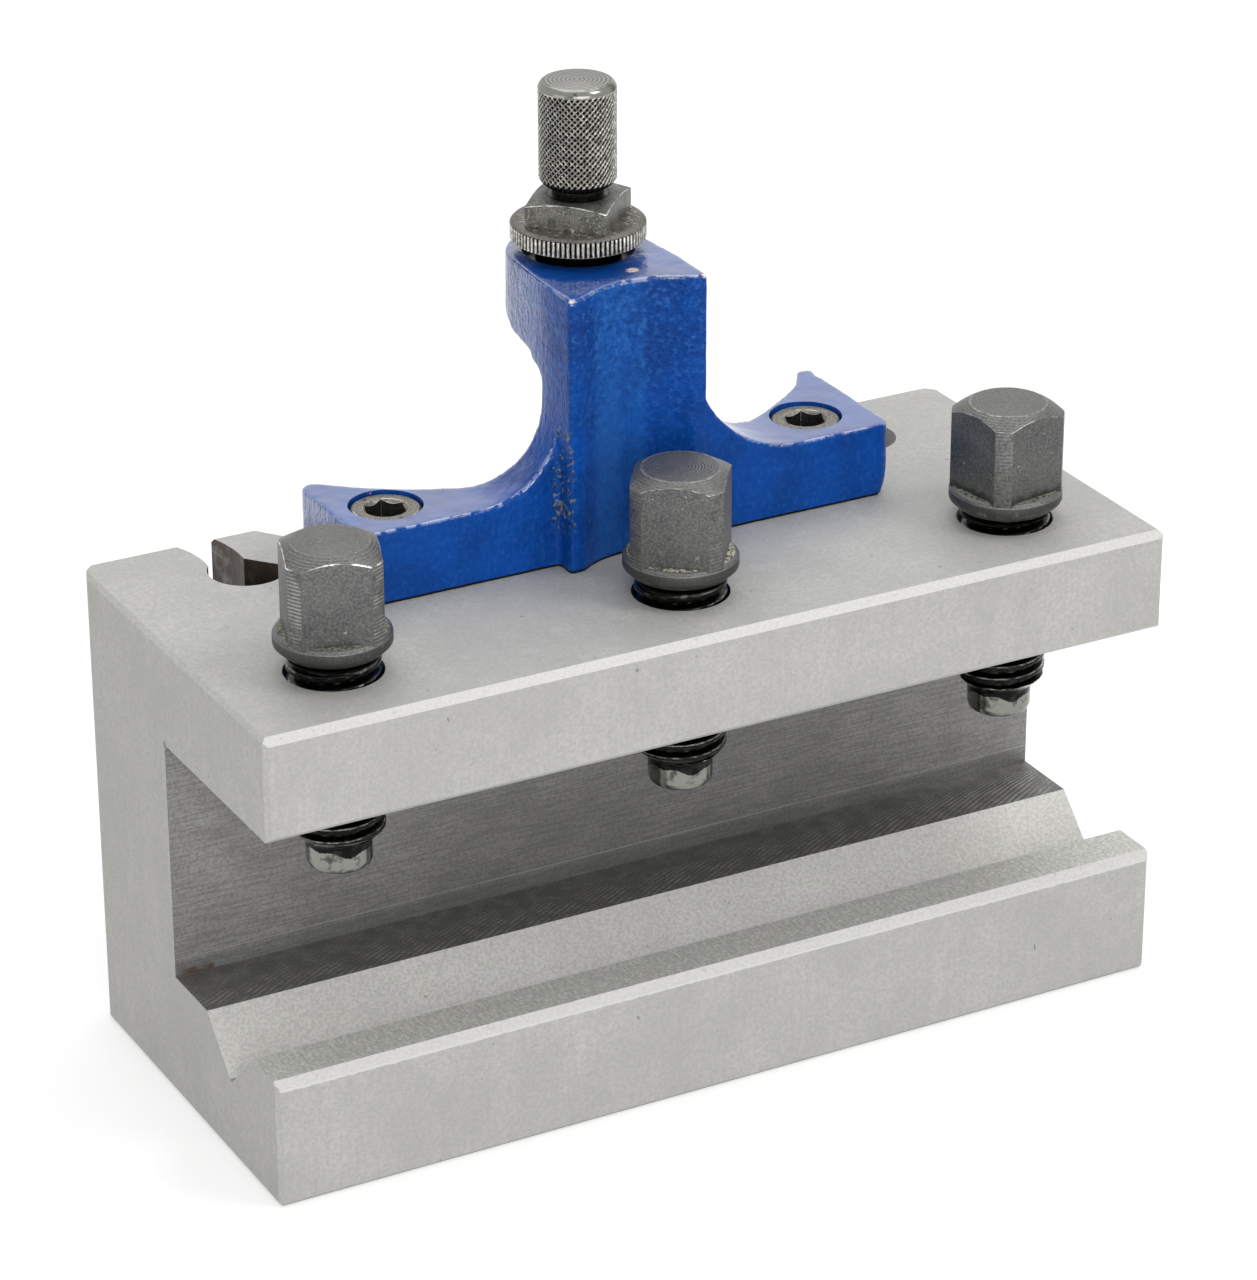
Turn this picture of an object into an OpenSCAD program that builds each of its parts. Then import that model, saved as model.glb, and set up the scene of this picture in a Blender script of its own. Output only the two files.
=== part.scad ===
// Quick-change tool holder for a lathe, with a prism jaw for round shanks.
// X runs along the clamped tool, Y from the front face to the tool post, Z up.
// Every piece is drawn from the middle of the front face and then moved back by half
// the body's depth, so the origin is at the middle of the base plane.

/* [Holder body] */
// Length of the body along the clamped tool
body_l = 130; // [120:1:160]
// Thickness of the upper jaw, which the clamp screws pass through
upper_jaw_t = 14; // [12:0.1:18]
// Height of the tool slot
slot_h = 33.5; // [30:0.5:40]
// Thickness of the lower jaw below the tool slot
lower_jaw_t = 18; // [15:0.1:24]
// Depth of the tool slot from the front face
slot_depth = 31.2; // [29:0.1:34]
// Least wall between the tool slot and the seat for the tool post
back_wall = 5.3; // [4.6:0.1:8]
// Width of the 90 degree prism groove for round shanks
prism_w = 14; // [10:0.5:18]
// Chamfer on the front edges of both jaws
jaw_chamfer = 1; // [0.6:0.1:1.5]
// Chamfer that breaks the other outer edges
edge_chamfer = 0.6; // [0.3:0.1:1]
// Radius of the two rear vertical corners
rear_corner_r = 4; // [2:0.5:6]
// Radius of the grinding reliefs under the upper jaw and in the groove
relief_r = 0.5; // [0.3:0.1:0.9]

/* [Tool post seat] */
// Radius of the seat at the tips of its teeth
seat_r = 48.5; // [47.8:0.1:49]
// Depth of the seat, measured from the rear face
seat_depth = 21.7; // [20.8:0.1:22.2]
// Divisions of the toothing around the whole tool post
post_divisions = 40; // [36:1:48]
// Teeth in the seat
seat_teeth = 11; // [7:2:11]
// Height of a tooth
tooth_h = 1.8; // [1:0.1:2]
// Thickness of the hooks that the claws of the tool post pull on
hook_t = 8.4; // [7.6:0.1:8.6]
// Width of each hook at the rear face
hook_w = 4.47; // [4.2:0.01:4.8]
// Distance from the edge of each hook to the middle of its claw pocket
pocket_reach = 1.1; // [0.7:0.1:1.5]
// Distance from the rear face to the middle of the claw pockets
pocket_inset = 11.4; // [11.2:0.1:11.8]
// Diameter of the claw pockets
pocket_d = 10.4; // [10:0.1:11]
// Width of the curved mouth of each claw pocket
mouth_w = 5; // [4.6:0.1:5.4]
// Radius at the middle of the curved mouth
mouth_r = 16.3; // [15:0.1:20]

/* [Clamp screws] */
// Distance from the front face to the screws and to the prism groove
grip_y = 14.2; // [12:0.1:16]
// Distance from the outer clamp screws to the ends of the body
screw_end = 16; // [13:0.5:19]
// Thread diameter of the clamp screws
screw_d = 12; // [10:0.5:14]
// Width across the flats of the square heads
square_af = 12; // [10:0.5:13]
// Diameter that the corners of the square heads are turned to
square_corner_d = 14.8; // [13.6:0.1:15]
// Diameter of the flat on top of the square heads
square_flat_d = 10.2; // [8:0.1:11]
// Height of the square heads above the collar
square_h = 11.5; // [8:0.1:14]
// Diameter of the collar
collar_d = 15; // [15:0.1:17]
// Height of the collar
collar_h = 2.8; // [2:0.1:4]
// Gap between the collar and the body, with the screw as shown
collar_gap = 2.9; // [2.4:0.1:4]
// Length of the shank below the collar, with its dog point
shank_l = 29.9; // [26:0.1:36]
// Diameter of the dog point
dog_d = 8.5; // [7:0.1:9]
// Length of the dog point
dog_l = 3.7; // [3:0.1:6]
// Lift of the left clamp screw above the middle one
left_lift = 0.2; // [-0.9:0.05:0.9]
// Lift of the right clamp screw above the middle one
right_lift = -0.85; // [-0.9:0.05:0.9]
// Turn of the left square head
left_turn = -18; // [-45:1:45]
// Turn of the middle square head
middle_turn = -36; // [-45:1:45]
// Turn of the right square head
right_turn = 9; // [-45:1:45]

/* [Bracket] */
// Length of the left wing of the foot, from the middle
foot_left = 38.4; // [37:0.1:42]
// Length of the right wing of the foot, from the middle
foot_right = 39.8; // [37:0.1:42]
// Radius of the upright corners of the foot
foot_corner_r = 1.6; // [1:0.1:2]
// Least depth of the foot, in front of the tool post
foot_web = 4.2; // [3.6:0.1:5]
// Thickness of the foot
foot_t = 10.1; // [9.6:0.1:13]
// Clearance between the bracket and the toothing of the tool post
post_gap = 4; // [3.4:0.1:4.4]
// Half width of the column
column_x = 10; // [9.6:0.1:11]
// How far the ribs of the column stand in front of the foot
rib_proud = 3.1; // [2:0.1:3.5]
// Least wall behind the flute that clears the wrench on the middle screw
flute_wall = 4.6; // [4.4:0.1:6]
// Radius of the left fillet between foot and column
left_fillet_r = 11; // [6:0.5:14]
// Radius of the right fillet between foot and column
right_fillet_r = 16; // [6:0.5:16]
// Height of the bracket above the body
bracket_h = 37.7; // [34:0.1:44]
// Radius of the round end of the arm
arm_r = 9.5; // [9.2:0.1:10.5]
// Thickness of the arm at its end
arm_end_t = 6.7; // [5:0.1:8]
// Thickness of the arm above the height screw
arm_root_t = 10.1; // [8:0.1:11]
// Radius of the fillet between arm and column
arm_fillet_r = 4; // [2:0.5:5]
// Distance from the back of the column to the height screw
height_reach = 9.2; // [8.5:0.1:10]
// Diameter of the spot face around the height screw
spot_d = 14.8; // [14:0.1:16]
// Depth of the spot face
spot_depth = 1.5; // [0.6:0.1:1.6]

/* [Bracket screws] */
// Half distance between the two cap screws
cap_x = 31.1; // [30:0.1:32]
// Distance from the front of the foot to the cap screws
cap_inset = 7.7; // [7:0.1:8.6]
// Thread diameter of the cap screws
cap_d = 6; // [5:0.5:6]
// Diameter of the cap screw heads
cap_head_d = 9.4; // [9:0.1:10]
// Height of the cap screw heads
cap_head_h = 6; // [5:0.1:6]
// Width across the flats of the hexagon sockets
cap_hex_af = 5; // [4:0.1:5]
// Length of the cap screws below the head
cap_l = 16; // [12:1:18]
// Depth of the cap screw heads below the foot's top face
cap_sink = 0.4; // [0.2:0.1:1]
// Turn of the left hexagon socket
left_hex_turn = -14; // [-30:1:30]
// Turn of the right hexagon socket
right_hex_turn = -18; // [-30:1:30]

/* [Height screw] */
// Thread diameter of the height screw
height_d = 8; // [6:0.5:8]
// Diameter of the knurled head
knob_d = 10.2; // [9:0.1:12]
// Height of the knurled head
knob_h = 14.1; // [10:0.1:20]
// Diameter of the neck under the knurled head
neck_d = 6.8; // [5:0.1:7.4]
// Length of the neck between the knurled head and the lock nut
neck_l = 1.1; // [0.9:0.1:3]
// Length of the height screw below the arm of the bracket
tip_l = 8; // [6:0.5:12]

/* [Lock nut] */
// Diameter of the knurled flange
flange_d = 17.7; // [16:0.1:20]
// Thickness of the knurled flange
flange_t = 2.7; // [2:0.1:4]
// Diameter of the boss under the flange
boss_d = 11.3; // [10:0.1:13]
// Height of the boss under the flange
boss_h = 2.85; // [2:0.05:4]
// Width across the flats of the square
nut_af = 11; // [10:0.5:12]
// Diameter of the flat on top of the square
nut_flat_d = 10.6; // [9.6:0.1:11]
// Height of the square
nut_h = 3.4; // [2:0.1:4]
// Turn of the square
nut_turn = 45; // [0:1:90]

/* [Clearances] */
// Clearance around each thread, on the radius
thread_gap = 0.05; // [0.03:0.01:0.08]
// Clearance around the cap screw heads, on the radius
head_gap = 0.2; // [0.1:0.05:0.4]
// Gap under the lock nut, which turns on the arm
nut_gap = 0.05; // [0.03:0.01:0.1]

/* [Hidden] */
$fn = 96;

// How far every cut runs past the face that it opens
overrun = 2;
// Fineness of the large arcs of the seat
seat_fn = 180;
// Slope of the turned chamfers on the square heads and on the lock nut's square
head_slope = 30;
nut_slope = 15.5;

// Heights, depth and half length of the body
slot_floor_z = lower_jaw_t;
slot_top_z = slot_floor_z + slot_h;
body_top_z = slot_top_z + upper_jaw_t;
body_d = slot_depth + back_wall + seat_depth;
body_x = body_l / 2;
screw_pitch = body_x - screw_end;
prism_depth = prism_w / 2;
// Chamfer at both mouths of the clamp screw bores
bore_chamfer = 0.35;

// The seat, its teeth and the hooks on its two sides
post_y = body_d - seat_depth + seat_r;
tooth_step = 360 / post_divisions;
// Half width of the seat at the rear face
half_mouth = sqrt(seat_r * seat_r - (post_y - body_d) * (post_y - body_d));
hook_r = seat_r + hook_t;
hook_tip_cut = 1.5;
hook_edge_x = half_mouth + hook_w;
pocket_x = hook_edge_x + pocket_reach;
// Corners of one tooth space: shares of a division around the post, and of the tooth's height
tooth_shares = [[-0.5, 1], [-0.38, 1], [-0.14, 0], [0.14, 0], [0.38, 1], [0.5, 1]];
// The claw swings in along an arc about this point
mouth_in_r = mouth_r - mouth_w / 2;
mouth_out_r = mouth_r + mouth_w / 2;
pocket_y = body_d - pocket_inset;
mouth_x = hook_edge_x + mouth_out_r;
mouth_y = pocket_y + mouth_w;

// Clamp screws
collar_z = body_top_z + collar_gap;
square_z = collar_z + collar_h;
square_top_z = square_z + square_h;
screw_tip_z = collar_z - shank_l;
collar_bevel = 0.95;
collar_crown = 0.6;
neck_recess = 0.9;
dog_bevel = 0.85;

// Bracket
foot_top_z = body_top_z + foot_t;
arm_top_z = body_top_z + bracket_h;
spot_z = arm_top_z - spot_depth;
post_clear_r = seat_r + post_gap;
column_back_y = post_y - post_clear_r;
foot_y = column_back_y - foot_web;
column_y = foot_y - rib_proud;
flute_r = column_back_y - flute_wall - grip_y;
height_y = column_back_y + height_reach;
arm_back_y = height_y + arm_r;
arm_end_z = arm_top_z - arm_end_t;
arm_root_z = arm_top_z - arm_root_t;
arm_foot_z = arm_root_z - (arm_root_t - arm_end_t) / 2;

// Cap screws in the foot of the bracket
cap_y = foot_y + cap_inset;
cap_seat_z = foot_top_z - cap_sink - cap_head_h;
cap_top_z = cap_seat_z + cap_head_h;
cap_bore_d = cap_head_d + 2 * head_gap;
cap_hex_depth = cap_head_h / 2;
cap_bevel = 0.5;
cap_bore_end = 2;

// Lock nut and height screw
boss_z = spot_z + nut_gap;
flange_z = boss_z + boss_h;
nut_square_z = flange_z + flange_t;
nut_top_z = nut_square_z + nut_h;
flange_bevel = 0.35;
knob_z = nut_top_z + neck_l;
knob_top_z = knob_z + knob_h;
knob_top_bevel_h = 1.6;
knob_top_bevel_w = 0.75;
knob_foot_bevel_h = 1.1;
knob_foot_bevel_w = 1.2;
height_tip_z = arm_root_z - tip_l;
height_tip_bevel = 1;

// Radius of the circle through the corners of a hexagon
function hex_r(af) = af / 2 / cos(30);
// A point at a radius and an angle from the post's axis, counted from the middle of the seat
function post_point(r, a) = [r * sin(a), post_y - r * cos(a)];
// Drop of a turned chamfer between two diameters
function cone_drop(d_in, d_out, slope) = (d_out - d_in) / 2 * tan(slope);

// Moves a piece from the front face's frame to the middle of the base
module placed() {
    translate([0, -body_d / 2, 0]) children();
}

module right_and_left() {
    children();
    mirror([1, 0, 0]) children();
}

// Extrudes an outline drawn in Y and Z along X, centred
module along_x(l) {
    translate([-l / 2, 0, 0]) rotate([90, 0, 90]) linear_extrude(l) children();
}

// Extrudes an outline drawn in X and Z along Y, from y0 to y1
module along_y(y0, y1) {
    translate([0, y1, 0]) rotate([90, 0, 0]) linear_extrude(y1 - y0) children();
}

module body_side() {
    polygon([
        [edge_chamfer, 0], [body_d - edge_chamfer, 0], [body_d, edge_chamfer],
        [body_d, body_top_z - edge_chamfer], [body_d - edge_chamfer, body_top_z],
        [jaw_chamfer, body_top_z], [0, body_top_z - jaw_chamfer],
        [0, slot_top_z + edge_chamfer], [edge_chamfer, slot_top_z], [slot_depth, slot_top_z],
        [slot_depth, slot_floor_z], [grip_y + prism_depth, slot_floor_z],
        [grip_y, slot_floor_z - prism_depth], [grip_y - prism_depth, slot_floor_z],
        [jaw_chamfer, slot_floor_z], [0, slot_floor_z - jaw_chamfer], [0, edge_chamfer]
    ]);
}

module body_front() {
    polygon([
        [-body_x + edge_chamfer, 0], [body_x - edge_chamfer, 0], [body_x, edge_chamfer],
        [body_x, body_top_z - edge_chamfer], [body_x - edge_chamfer, body_top_z],
        [-body_x + edge_chamfer, body_top_z], [-body_x, body_top_z - edge_chamfer],
        [-body_x, edge_chamfer]
    ]);
}

// The toothed hollow that lies against the tool post
module seat_plan() {
    half = (seat_teeth - 1) / 2;
    teeth = [for (i = [-half:half]) for (s = tooth_shares)
        post_point(seat_r + s[1] * tooth_h, (i + s[0]) * tooth_step)];
    translate([0, post_y]) circle(seat_r, $fn = seat_fn);
    polygon(concat([[0, post_y]], teeth));
    // The hooks end in a slanted corner at the rear face
    right_and_left() polygon([
        [0, body_d + overrun], [0, body_d - hook_tip_cut], [half_mouth - hook_tip_cut, body_d - hook_tip_cut],
        [half_mouth + hook_tip_cut / 2, body_d], [half_mouth + hook_tip_cut / 2, body_d + overrun]
    ]);
}

// Pocket and curved mouth for one claw, with the hook left standing
module pocket_plan() {
    difference() {
        union() {
            translate([pocket_x, pocket_y]) circle(d = pocket_d);
            intersection() {
                translate([mouth_x, mouth_y]) difference() {
                    circle(mouth_out_r, $fn = seat_fn);
                    circle(mouth_in_r, $fn = seat_fn);
                }
                translate([pocket_x - pocket_d, pocket_y])
                    square([2 * pocket_d, body_d - pocket_y + overrun]);
            }
        }
        difference() {
            translate([0, post_y]) circle(hook_r, $fn = seat_fn);
            translate([mouth_x, mouth_y]) circle(mouth_out_r, $fn = seat_fn);
        }
    }
}

module body_plan() {
    difference() {
        union() {
            translate([-body_x, edge_chamfer])
                square([body_l, body_d - edge_chamfer - rear_corner_r]);
            translate([-body_x + edge_chamfer, 0]) square([body_l - 2 * edge_chamfer, edge_chamfer]);
            translate([-body_x + rear_corner_r, 0]) square([body_l - 2 * rear_corner_r, body_d]);
            right_and_left() {
                translate([body_x - rear_corner_r, body_d - rear_corner_r]) circle(rear_corner_r);
                polygon([[body_x - edge_chamfer, 0], [body_x, edge_chamfer],
                         [body_x - edge_chamfer, edge_chamfer]]);
            }
        }
        seat_plan();
        right_and_left() pocket_plan();
    }
}

// Threaded bore of one clamp screw, chamfered above and below
module clamp_bore() {
    bore_r = screw_d / 2 + thread_gap;
    mouth_h = bore_chamfer + overrun;
    translate([0, grip_y, slot_top_z - overrun]) cylinder(r = bore_r, h = upper_jaw_t + 2 * overrun);
    translate([0, grip_y, body_top_z - bore_chamfer])
        cylinder(r1 = bore_r, r2 = bore_r + mouth_h, h = mouth_h);
    translate([0, grip_y, slot_top_z - overrun])
        cylinder(r1 = bore_r + mouth_h, r2 = bore_r, h = mouth_h);
}

// Grinding relief along the upper corner of the slot, or along the bottom of the groove
module relief(y, z) {
    translate([-body_x - overrun, y, z]) rotate([0, 90, 0])
        cylinder(r = relief_r, h = body_l + 2 * overrun, $fn = 24);
}

module body() {
    color("#b9b8b3") placed() difference() {
        intersection() {
            along_x(body_l) body_side();
            along_y(0, body_d) body_front();
            linear_extrude(body_top_z) body_plan();
        }
        for (x = [-screw_pitch, 0, screw_pitch]) translate([x, 0, 0]) clamp_bore();
        right_and_left() translate([cap_x, cap_y, cap_seat_z - cap_l - cap_bore_end])
            cylinder(r = cap_d / 2 + thread_gap, h = cap_l + cap_bore_end + foot_t);
        relief(slot_depth, slot_top_z);
        relief(grip_y, slot_floor_z - prism_depth);
    }
}

// Fillet between the foot and the right side of the column, seen from the front
module foot_fillet(r) {
    difference() {
        translate([column_x, foot_top_z]) square(r);
        translate([column_x + r, foot_top_z + r]) circle(r);
    }
}

// Foot and column seen from the front, as one outline with a fillet in each corner
module bracket_front() {
    translate([-foot_left, body_top_z]) square([foot_left + foot_right, foot_t]);
    translate([-column_x, body_top_z]) square([2 * column_x, bracket_h]);
    foot_fillet(right_fillet_r);
    mirror([1, 0, 0]) foot_fillet(left_fillet_r);
}

// Plan of the foot as far as the column's other side, with both corners of its end rounded
module foot_wing(end_x) {
    round_x = end_x - foot_corner_r;
    // The rear rounding touches the end of the foot and the clearance for the post
    round_y = post_y - sqrt(pow(post_clear_r + foot_corner_r, 2) - round_x * round_x);
    touch_share = post_clear_r / (post_clear_r + foot_corner_r);
    touch_x = round_x * touch_share;
    touch_y = post_y - (post_y - round_y) * touch_share;
    difference() {
        union() {
            translate([-column_x, foot_y]) square([column_x + round_x, body_d - foot_y]);
            translate([-column_x, foot_y + foot_corner_r])
                square([column_x + end_x, body_d - foot_y - foot_corner_r]);
            translate([round_x, foot_y + foot_corner_r]) circle(foot_corner_r);
        }
        translate([0, post_y]) circle(post_clear_r, $fn = seat_fn);
        polygon([
            [end_x, round_y], [end_x + overrun, round_y], [end_x + overrun, body_d + overrun],
            [touch_x, body_d + overrun], [touch_x, touch_y]
        ]);
    }
    translate([round_x, round_y]) circle(foot_corner_r);
}

// Side of the arm, with its rising underside and the fillet into the column
module arm_side() {
    polygon([
        [column_y, arm_top_z], [arm_back_y, arm_top_z], [arm_back_y, arm_end_z],
        [height_y, arm_root_z], [column_back_y, arm_foot_z], [column_y, arm_foot_z]
    ]);
    difference() {
        translate([column_back_y, arm_foot_z - arm_fillet_r])
            square([arm_fillet_r, arm_fillet_r + arm_root_z - arm_foot_z]);
        translate([column_back_y + arm_fillet_r, arm_foot_z - arm_fillet_r]) circle(arm_fillet_r);
    }
}

module arm_plan() {
    translate([0, height_y]) circle(arm_r);
    polygon([[-column_x, column_y], [column_x, column_y], [column_x, column_back_y],
             [arm_r, height_y], [-arm_r, height_y], [-column_x, column_back_y]]);
}

// Foot and column, kept clear of the tool post that stands behind them
module bracket_web() {
    intersection() {
        along_y(column_y, body_d) bracket_front();
        translate([0, 0, body_top_z]) linear_extrude(bracket_h) {
            foot_wing(foot_right);
            mirror([1, 0, 0]) foot_wing(foot_left);
            difference() {
                translate([-column_x, column_y]) square([2 * column_x, body_d - column_y]);
                translate([0, post_y]) circle(post_clear_r, $fn = seat_fn);
            }
        }
    }
}

module bracket() {
    color("#10449a") placed() difference() {
        union() {
            bracket_web();
            intersection() {
                along_x(2 * column_x) arm_side();
                translate([0, 0, body_top_z]) linear_extrude(bracket_h) arm_plan();
            }
        }
        translate([0, grip_y, body_top_z - overrun])
            cylinder(r = flute_r, h = bracket_h + 2 * overrun);
        translate([0, height_y, body_top_z])
            cylinder(r = height_d / 2 + thread_gap, h = bracket_h + overrun);
        translate([0, height_y, spot_z]) cylinder(d = spot_d, h = spot_depth + overrun);
        right_and_left() translate([cap_x, cap_y, 0]) {
            translate([0, 0, body_top_z - overrun])
                cylinder(r = cap_d / 2 + thread_gap, h = foot_t + 2 * overrun);
            translate([0, 0, cap_seat_z]) cylinder(d = cap_bore_d, h = foot_t + right_fillet_r);
        }
    }
}

// One collar screw at its place, with its square head turned about its axis
module clamp_screw(x, lift, turn) {
    corner_z = square_top_z - cone_drop(square_flat_d, square_corner_d, head_slope);
    translate([x, grip_y, lift]) color("#55565a") {
        intersection() {
            rotate([0, 0, turn]) translate([-square_af / 2, -square_af / 2, collar_z])
                cube([square_af, square_af, collar_h + square_h]);
            rotate_extrude() polygon([
                [0, collar_z], [square_corner_d / 2, collar_z], [square_corner_d / 2, corner_z],
                [square_flat_d / 2, square_top_z], [0, square_top_z]
            ]);
        }
        rotate_extrude() polygon([
            [0, screw_tip_z], [dog_d / 2 - dog_bevel, screw_tip_z],
            [dog_d / 2, screw_tip_z + dog_bevel], [dog_d / 2, screw_tip_z + dog_l],
            [screw_d / 2, screw_tip_z + dog_l + (screw_d - dog_d) / 2],
            [screw_d / 2, collar_z - neck_recess], [screw_d / 2 - neck_recess, collar_z - neck_recess],
            [screw_d / 2 - neck_recess, collar_z], [collar_d / 2 - collar_bevel, collar_z],
            [collar_d / 2, collar_z + collar_bevel], [collar_d / 2, square_z - collar_crown],
            [collar_d / 2 - collar_crown, square_z], [0, square_z]
        ]);
    }
}

module clamp_screw_left() placed() clamp_screw(-screw_pitch, left_lift, left_turn);
module clamp_screw_middle() placed() clamp_screw(0, 0, middle_turn);
module clamp_screw_right() placed() clamp_screw(screw_pitch, right_lift, right_turn);

// One socket cap screw at its place in the foot
module bracket_screw(x, turn) {
    translate([x, cap_y, 0]) color("#8f8b82") difference() {
        rotate_extrude() polygon([
            [0, cap_seat_z - cap_l], [cap_d / 2 - cap_bevel, cap_seat_z - cap_l],
            [cap_d / 2, cap_seat_z - cap_l + cap_bevel], [cap_d / 2, cap_seat_z],
            [cap_head_d / 2, cap_seat_z], [cap_head_d / 2, cap_top_z - cap_bevel],
            [cap_head_d / 2 - cap_bevel, cap_top_z], [0, cap_top_z]
        ]);
        translate([0, 0, cap_top_z - cap_hex_depth]) rotate([0, 0, turn])
            cylinder(r = hex_r(cap_hex_af), h = cap_head_h, $fn = 6);
    }
}

module bracket_screw_left() placed() bracket_screw(-cap_x, left_hex_turn);
module bracket_screw_right() placed() bracket_screw(cap_x, right_hex_turn);

module height_screw() {
    knob_r = knob_d / 2;
    color("#8a8880") placed() translate([0, height_y, 0]) rotate_extrude() polygon([
        [0, height_tip_z], [height_d / 2 - height_tip_bevel, height_tip_z],
        [height_d / 2, height_tip_z + height_tip_bevel], [height_d / 2, nut_top_z],
        [neck_d / 2, nut_top_z], [neck_d / 2, knob_z], [knob_r - knob_foot_bevel_w, knob_z],
        [knob_r, knob_z + knob_foot_bevel_h], [knob_r, knob_top_z - knob_top_bevel_h],
        [knob_r - knob_top_bevel_w, knob_top_z], [0, knob_top_z]
    ]);
}

module lock_nut() {
    cone_foot_z = nut_top_z - cone_drop(nut_flat_d, flange_d, nut_slope);
    color("#5a5952") placed() translate([0, height_y, 0]) difference() {
        union() {
            rotate_extrude() polygon([
                [0, boss_z], [boss_d / 2, boss_z], [boss_d / 2, flange_z],
                [flange_d / 2 - flange_bevel, flange_z], [flange_d / 2, flange_z + flange_bevel],
                [flange_d / 2, nut_square_z - flange_bevel],
                [flange_d / 2 - flange_bevel, nut_square_z], [0, nut_square_z]
            ]);
            intersection() {
                rotate([0, 0, nut_turn]) translate([-nut_af / 2, -nut_af / 2, flange_z])
                    cube([nut_af, nut_af, flange_t + nut_h]);
                rotate_extrude() polygon([
                    [0, flange_z], [flange_d / 2, flange_z], [flange_d / 2, cone_foot_z],
                    [nut_flat_d / 2, nut_top_z], [0, nut_top_z]
                ]);
            }
        }
        translate([0, 0, boss_z - overrun])
            cylinder(r = height_d / 2 + thread_gap, h = nut_top_z - boss_z + 2 * overrun);
    }
}

body();
bracket();
clamp_screw_left();
clamp_screw_middle();
clamp_screw_right();
bracket_screw_left();
bracket_screw_right();
height_screw();
lock_nut();
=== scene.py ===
import math

import bpy
from mathutils import Matrix, Vector


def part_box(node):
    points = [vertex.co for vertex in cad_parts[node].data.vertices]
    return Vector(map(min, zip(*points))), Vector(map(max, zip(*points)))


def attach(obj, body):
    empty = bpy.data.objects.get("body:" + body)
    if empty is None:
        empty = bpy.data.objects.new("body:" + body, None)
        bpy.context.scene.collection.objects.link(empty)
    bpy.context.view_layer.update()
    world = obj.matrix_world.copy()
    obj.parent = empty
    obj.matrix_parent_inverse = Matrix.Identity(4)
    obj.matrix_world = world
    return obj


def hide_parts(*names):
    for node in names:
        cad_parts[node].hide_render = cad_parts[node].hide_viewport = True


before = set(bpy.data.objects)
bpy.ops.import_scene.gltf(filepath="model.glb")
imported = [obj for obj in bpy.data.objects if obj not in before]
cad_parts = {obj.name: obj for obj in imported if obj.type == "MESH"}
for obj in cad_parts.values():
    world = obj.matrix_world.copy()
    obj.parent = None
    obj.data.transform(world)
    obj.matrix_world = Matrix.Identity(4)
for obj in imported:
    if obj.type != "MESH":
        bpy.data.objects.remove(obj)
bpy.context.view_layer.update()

# Sizes are in metres: MM turns the millimetres of the workshop drawing into them.
MM = 0.001
# Vertices nearer than this are one vertex
MERGE = 0.001 * MM
PALE = "#FFFFFF"

# The holder body, from the frame
body_low, body_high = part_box("body")
front_y = body_low.y
rear_y = body_high.y
body_top_z = body_high.z
slot_floor_z = 18 * MM
slot_top_z = 51.5 * MM
slot_back_y = front_y + 31.2 * MM
groove_y = front_y + 14.2 * MM
groove_half = 7 * MM
clamp_axes = {side: sum(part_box("clamp_screw_" + side), Vector()) / 2 for side in ("left", "middle", "right")}

# The bracket, the height screw and its nut, from the frame
bracket_low, bracket_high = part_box("bracket")
foot_top_z = body_top_z + 10.1 * MM
arm_root_z = bracket_high.z - 10.1 * MM
spot_z = bracket_high.z - 1.5 * MM
spot_r = 7.4 * MM
height_axis = sum(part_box("height_screw"), Vector()) / 2
cap_axes = {side: sum(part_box("bracket_screw_" + side), Vector()) / 2 for side in ("left", "right")}
knob_r = 5.1 * MM
knurl_depth = 0.3 * MM
flange_r = 8.85 * MM
rib_depth = 0.26 * MM


# Camera at the photograph's angle

def rotation_columns(yaw, pitch, roll):
    """The camera's right, up and back, for a yaw to the right of +Y, a pitch down and a roll."""
    ahead = Vector((math.sin(yaw) * math.cos(pitch), math.cos(yaw) * math.cos(pitch), -math.sin(pitch)))
    level = ahead.cross(Vector((0, 0, 1))).normalized()
    upright = level.cross(ahead)
    right = math.cos(roll) * level + math.sin(roll) * upright
    up = -math.sin(roll) * level + math.cos(roll) * upright
    return right, up, -ahead


def add_camera():
    place = (-270.91 * MM, -502.39 * MM, 320.48 * MM)
    yaw, pitch, roll = [math.radians(angle) for angle in (28.375, 25.165, -0.124)]
    data = bpy.data.cameras.new("camera")
    data.lens = 134.79
    data.sensor_width = 36
    data.clip_start = 0.01
    camera = bpy.data.objects.new("camera", data)
    bpy.context.scene.collection.objects.link(camera)
    columns = rotation_columns(yaw, pitch, roll)
    camera.matrix_world = Matrix([(*[column[i] for column in columns], place[i]) for i in range(3)] + [(0, 0, 0, 1)])
    bpy.context.scene.camera = camera


add_camera()
bpy.context.scene.view_settings.view_transform = "Standard"


# Materials

def linear(code):
    """An sRGB hex colour as linear red, green, blue and an alpha of one."""
    parts = [int(code[i:i + 2], 16) / 255 for i in (1, 3, 5)]
    return (*[p / 12.92 if p <= 0.04045 else ((p + 0.055) / 1.055) ** 2.4 for p in parts], 1)


def add(tree, kind, sockets=None, **settings):
    """Adds a node: settings are its own, and sockets take a value or the output of another node."""
    node = tree.nodes.new("ShaderNode" + kind)
    for key, value in settings.items():
        setattr(node, key, value)
    for socket, value in (sockets or {}).items():
        if isinstance(value, bpy.types.NodeSocket):
            tree.links.new(value, node.inputs[socket])
        else:
            node.inputs[socket].default_value = value
    return node


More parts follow.
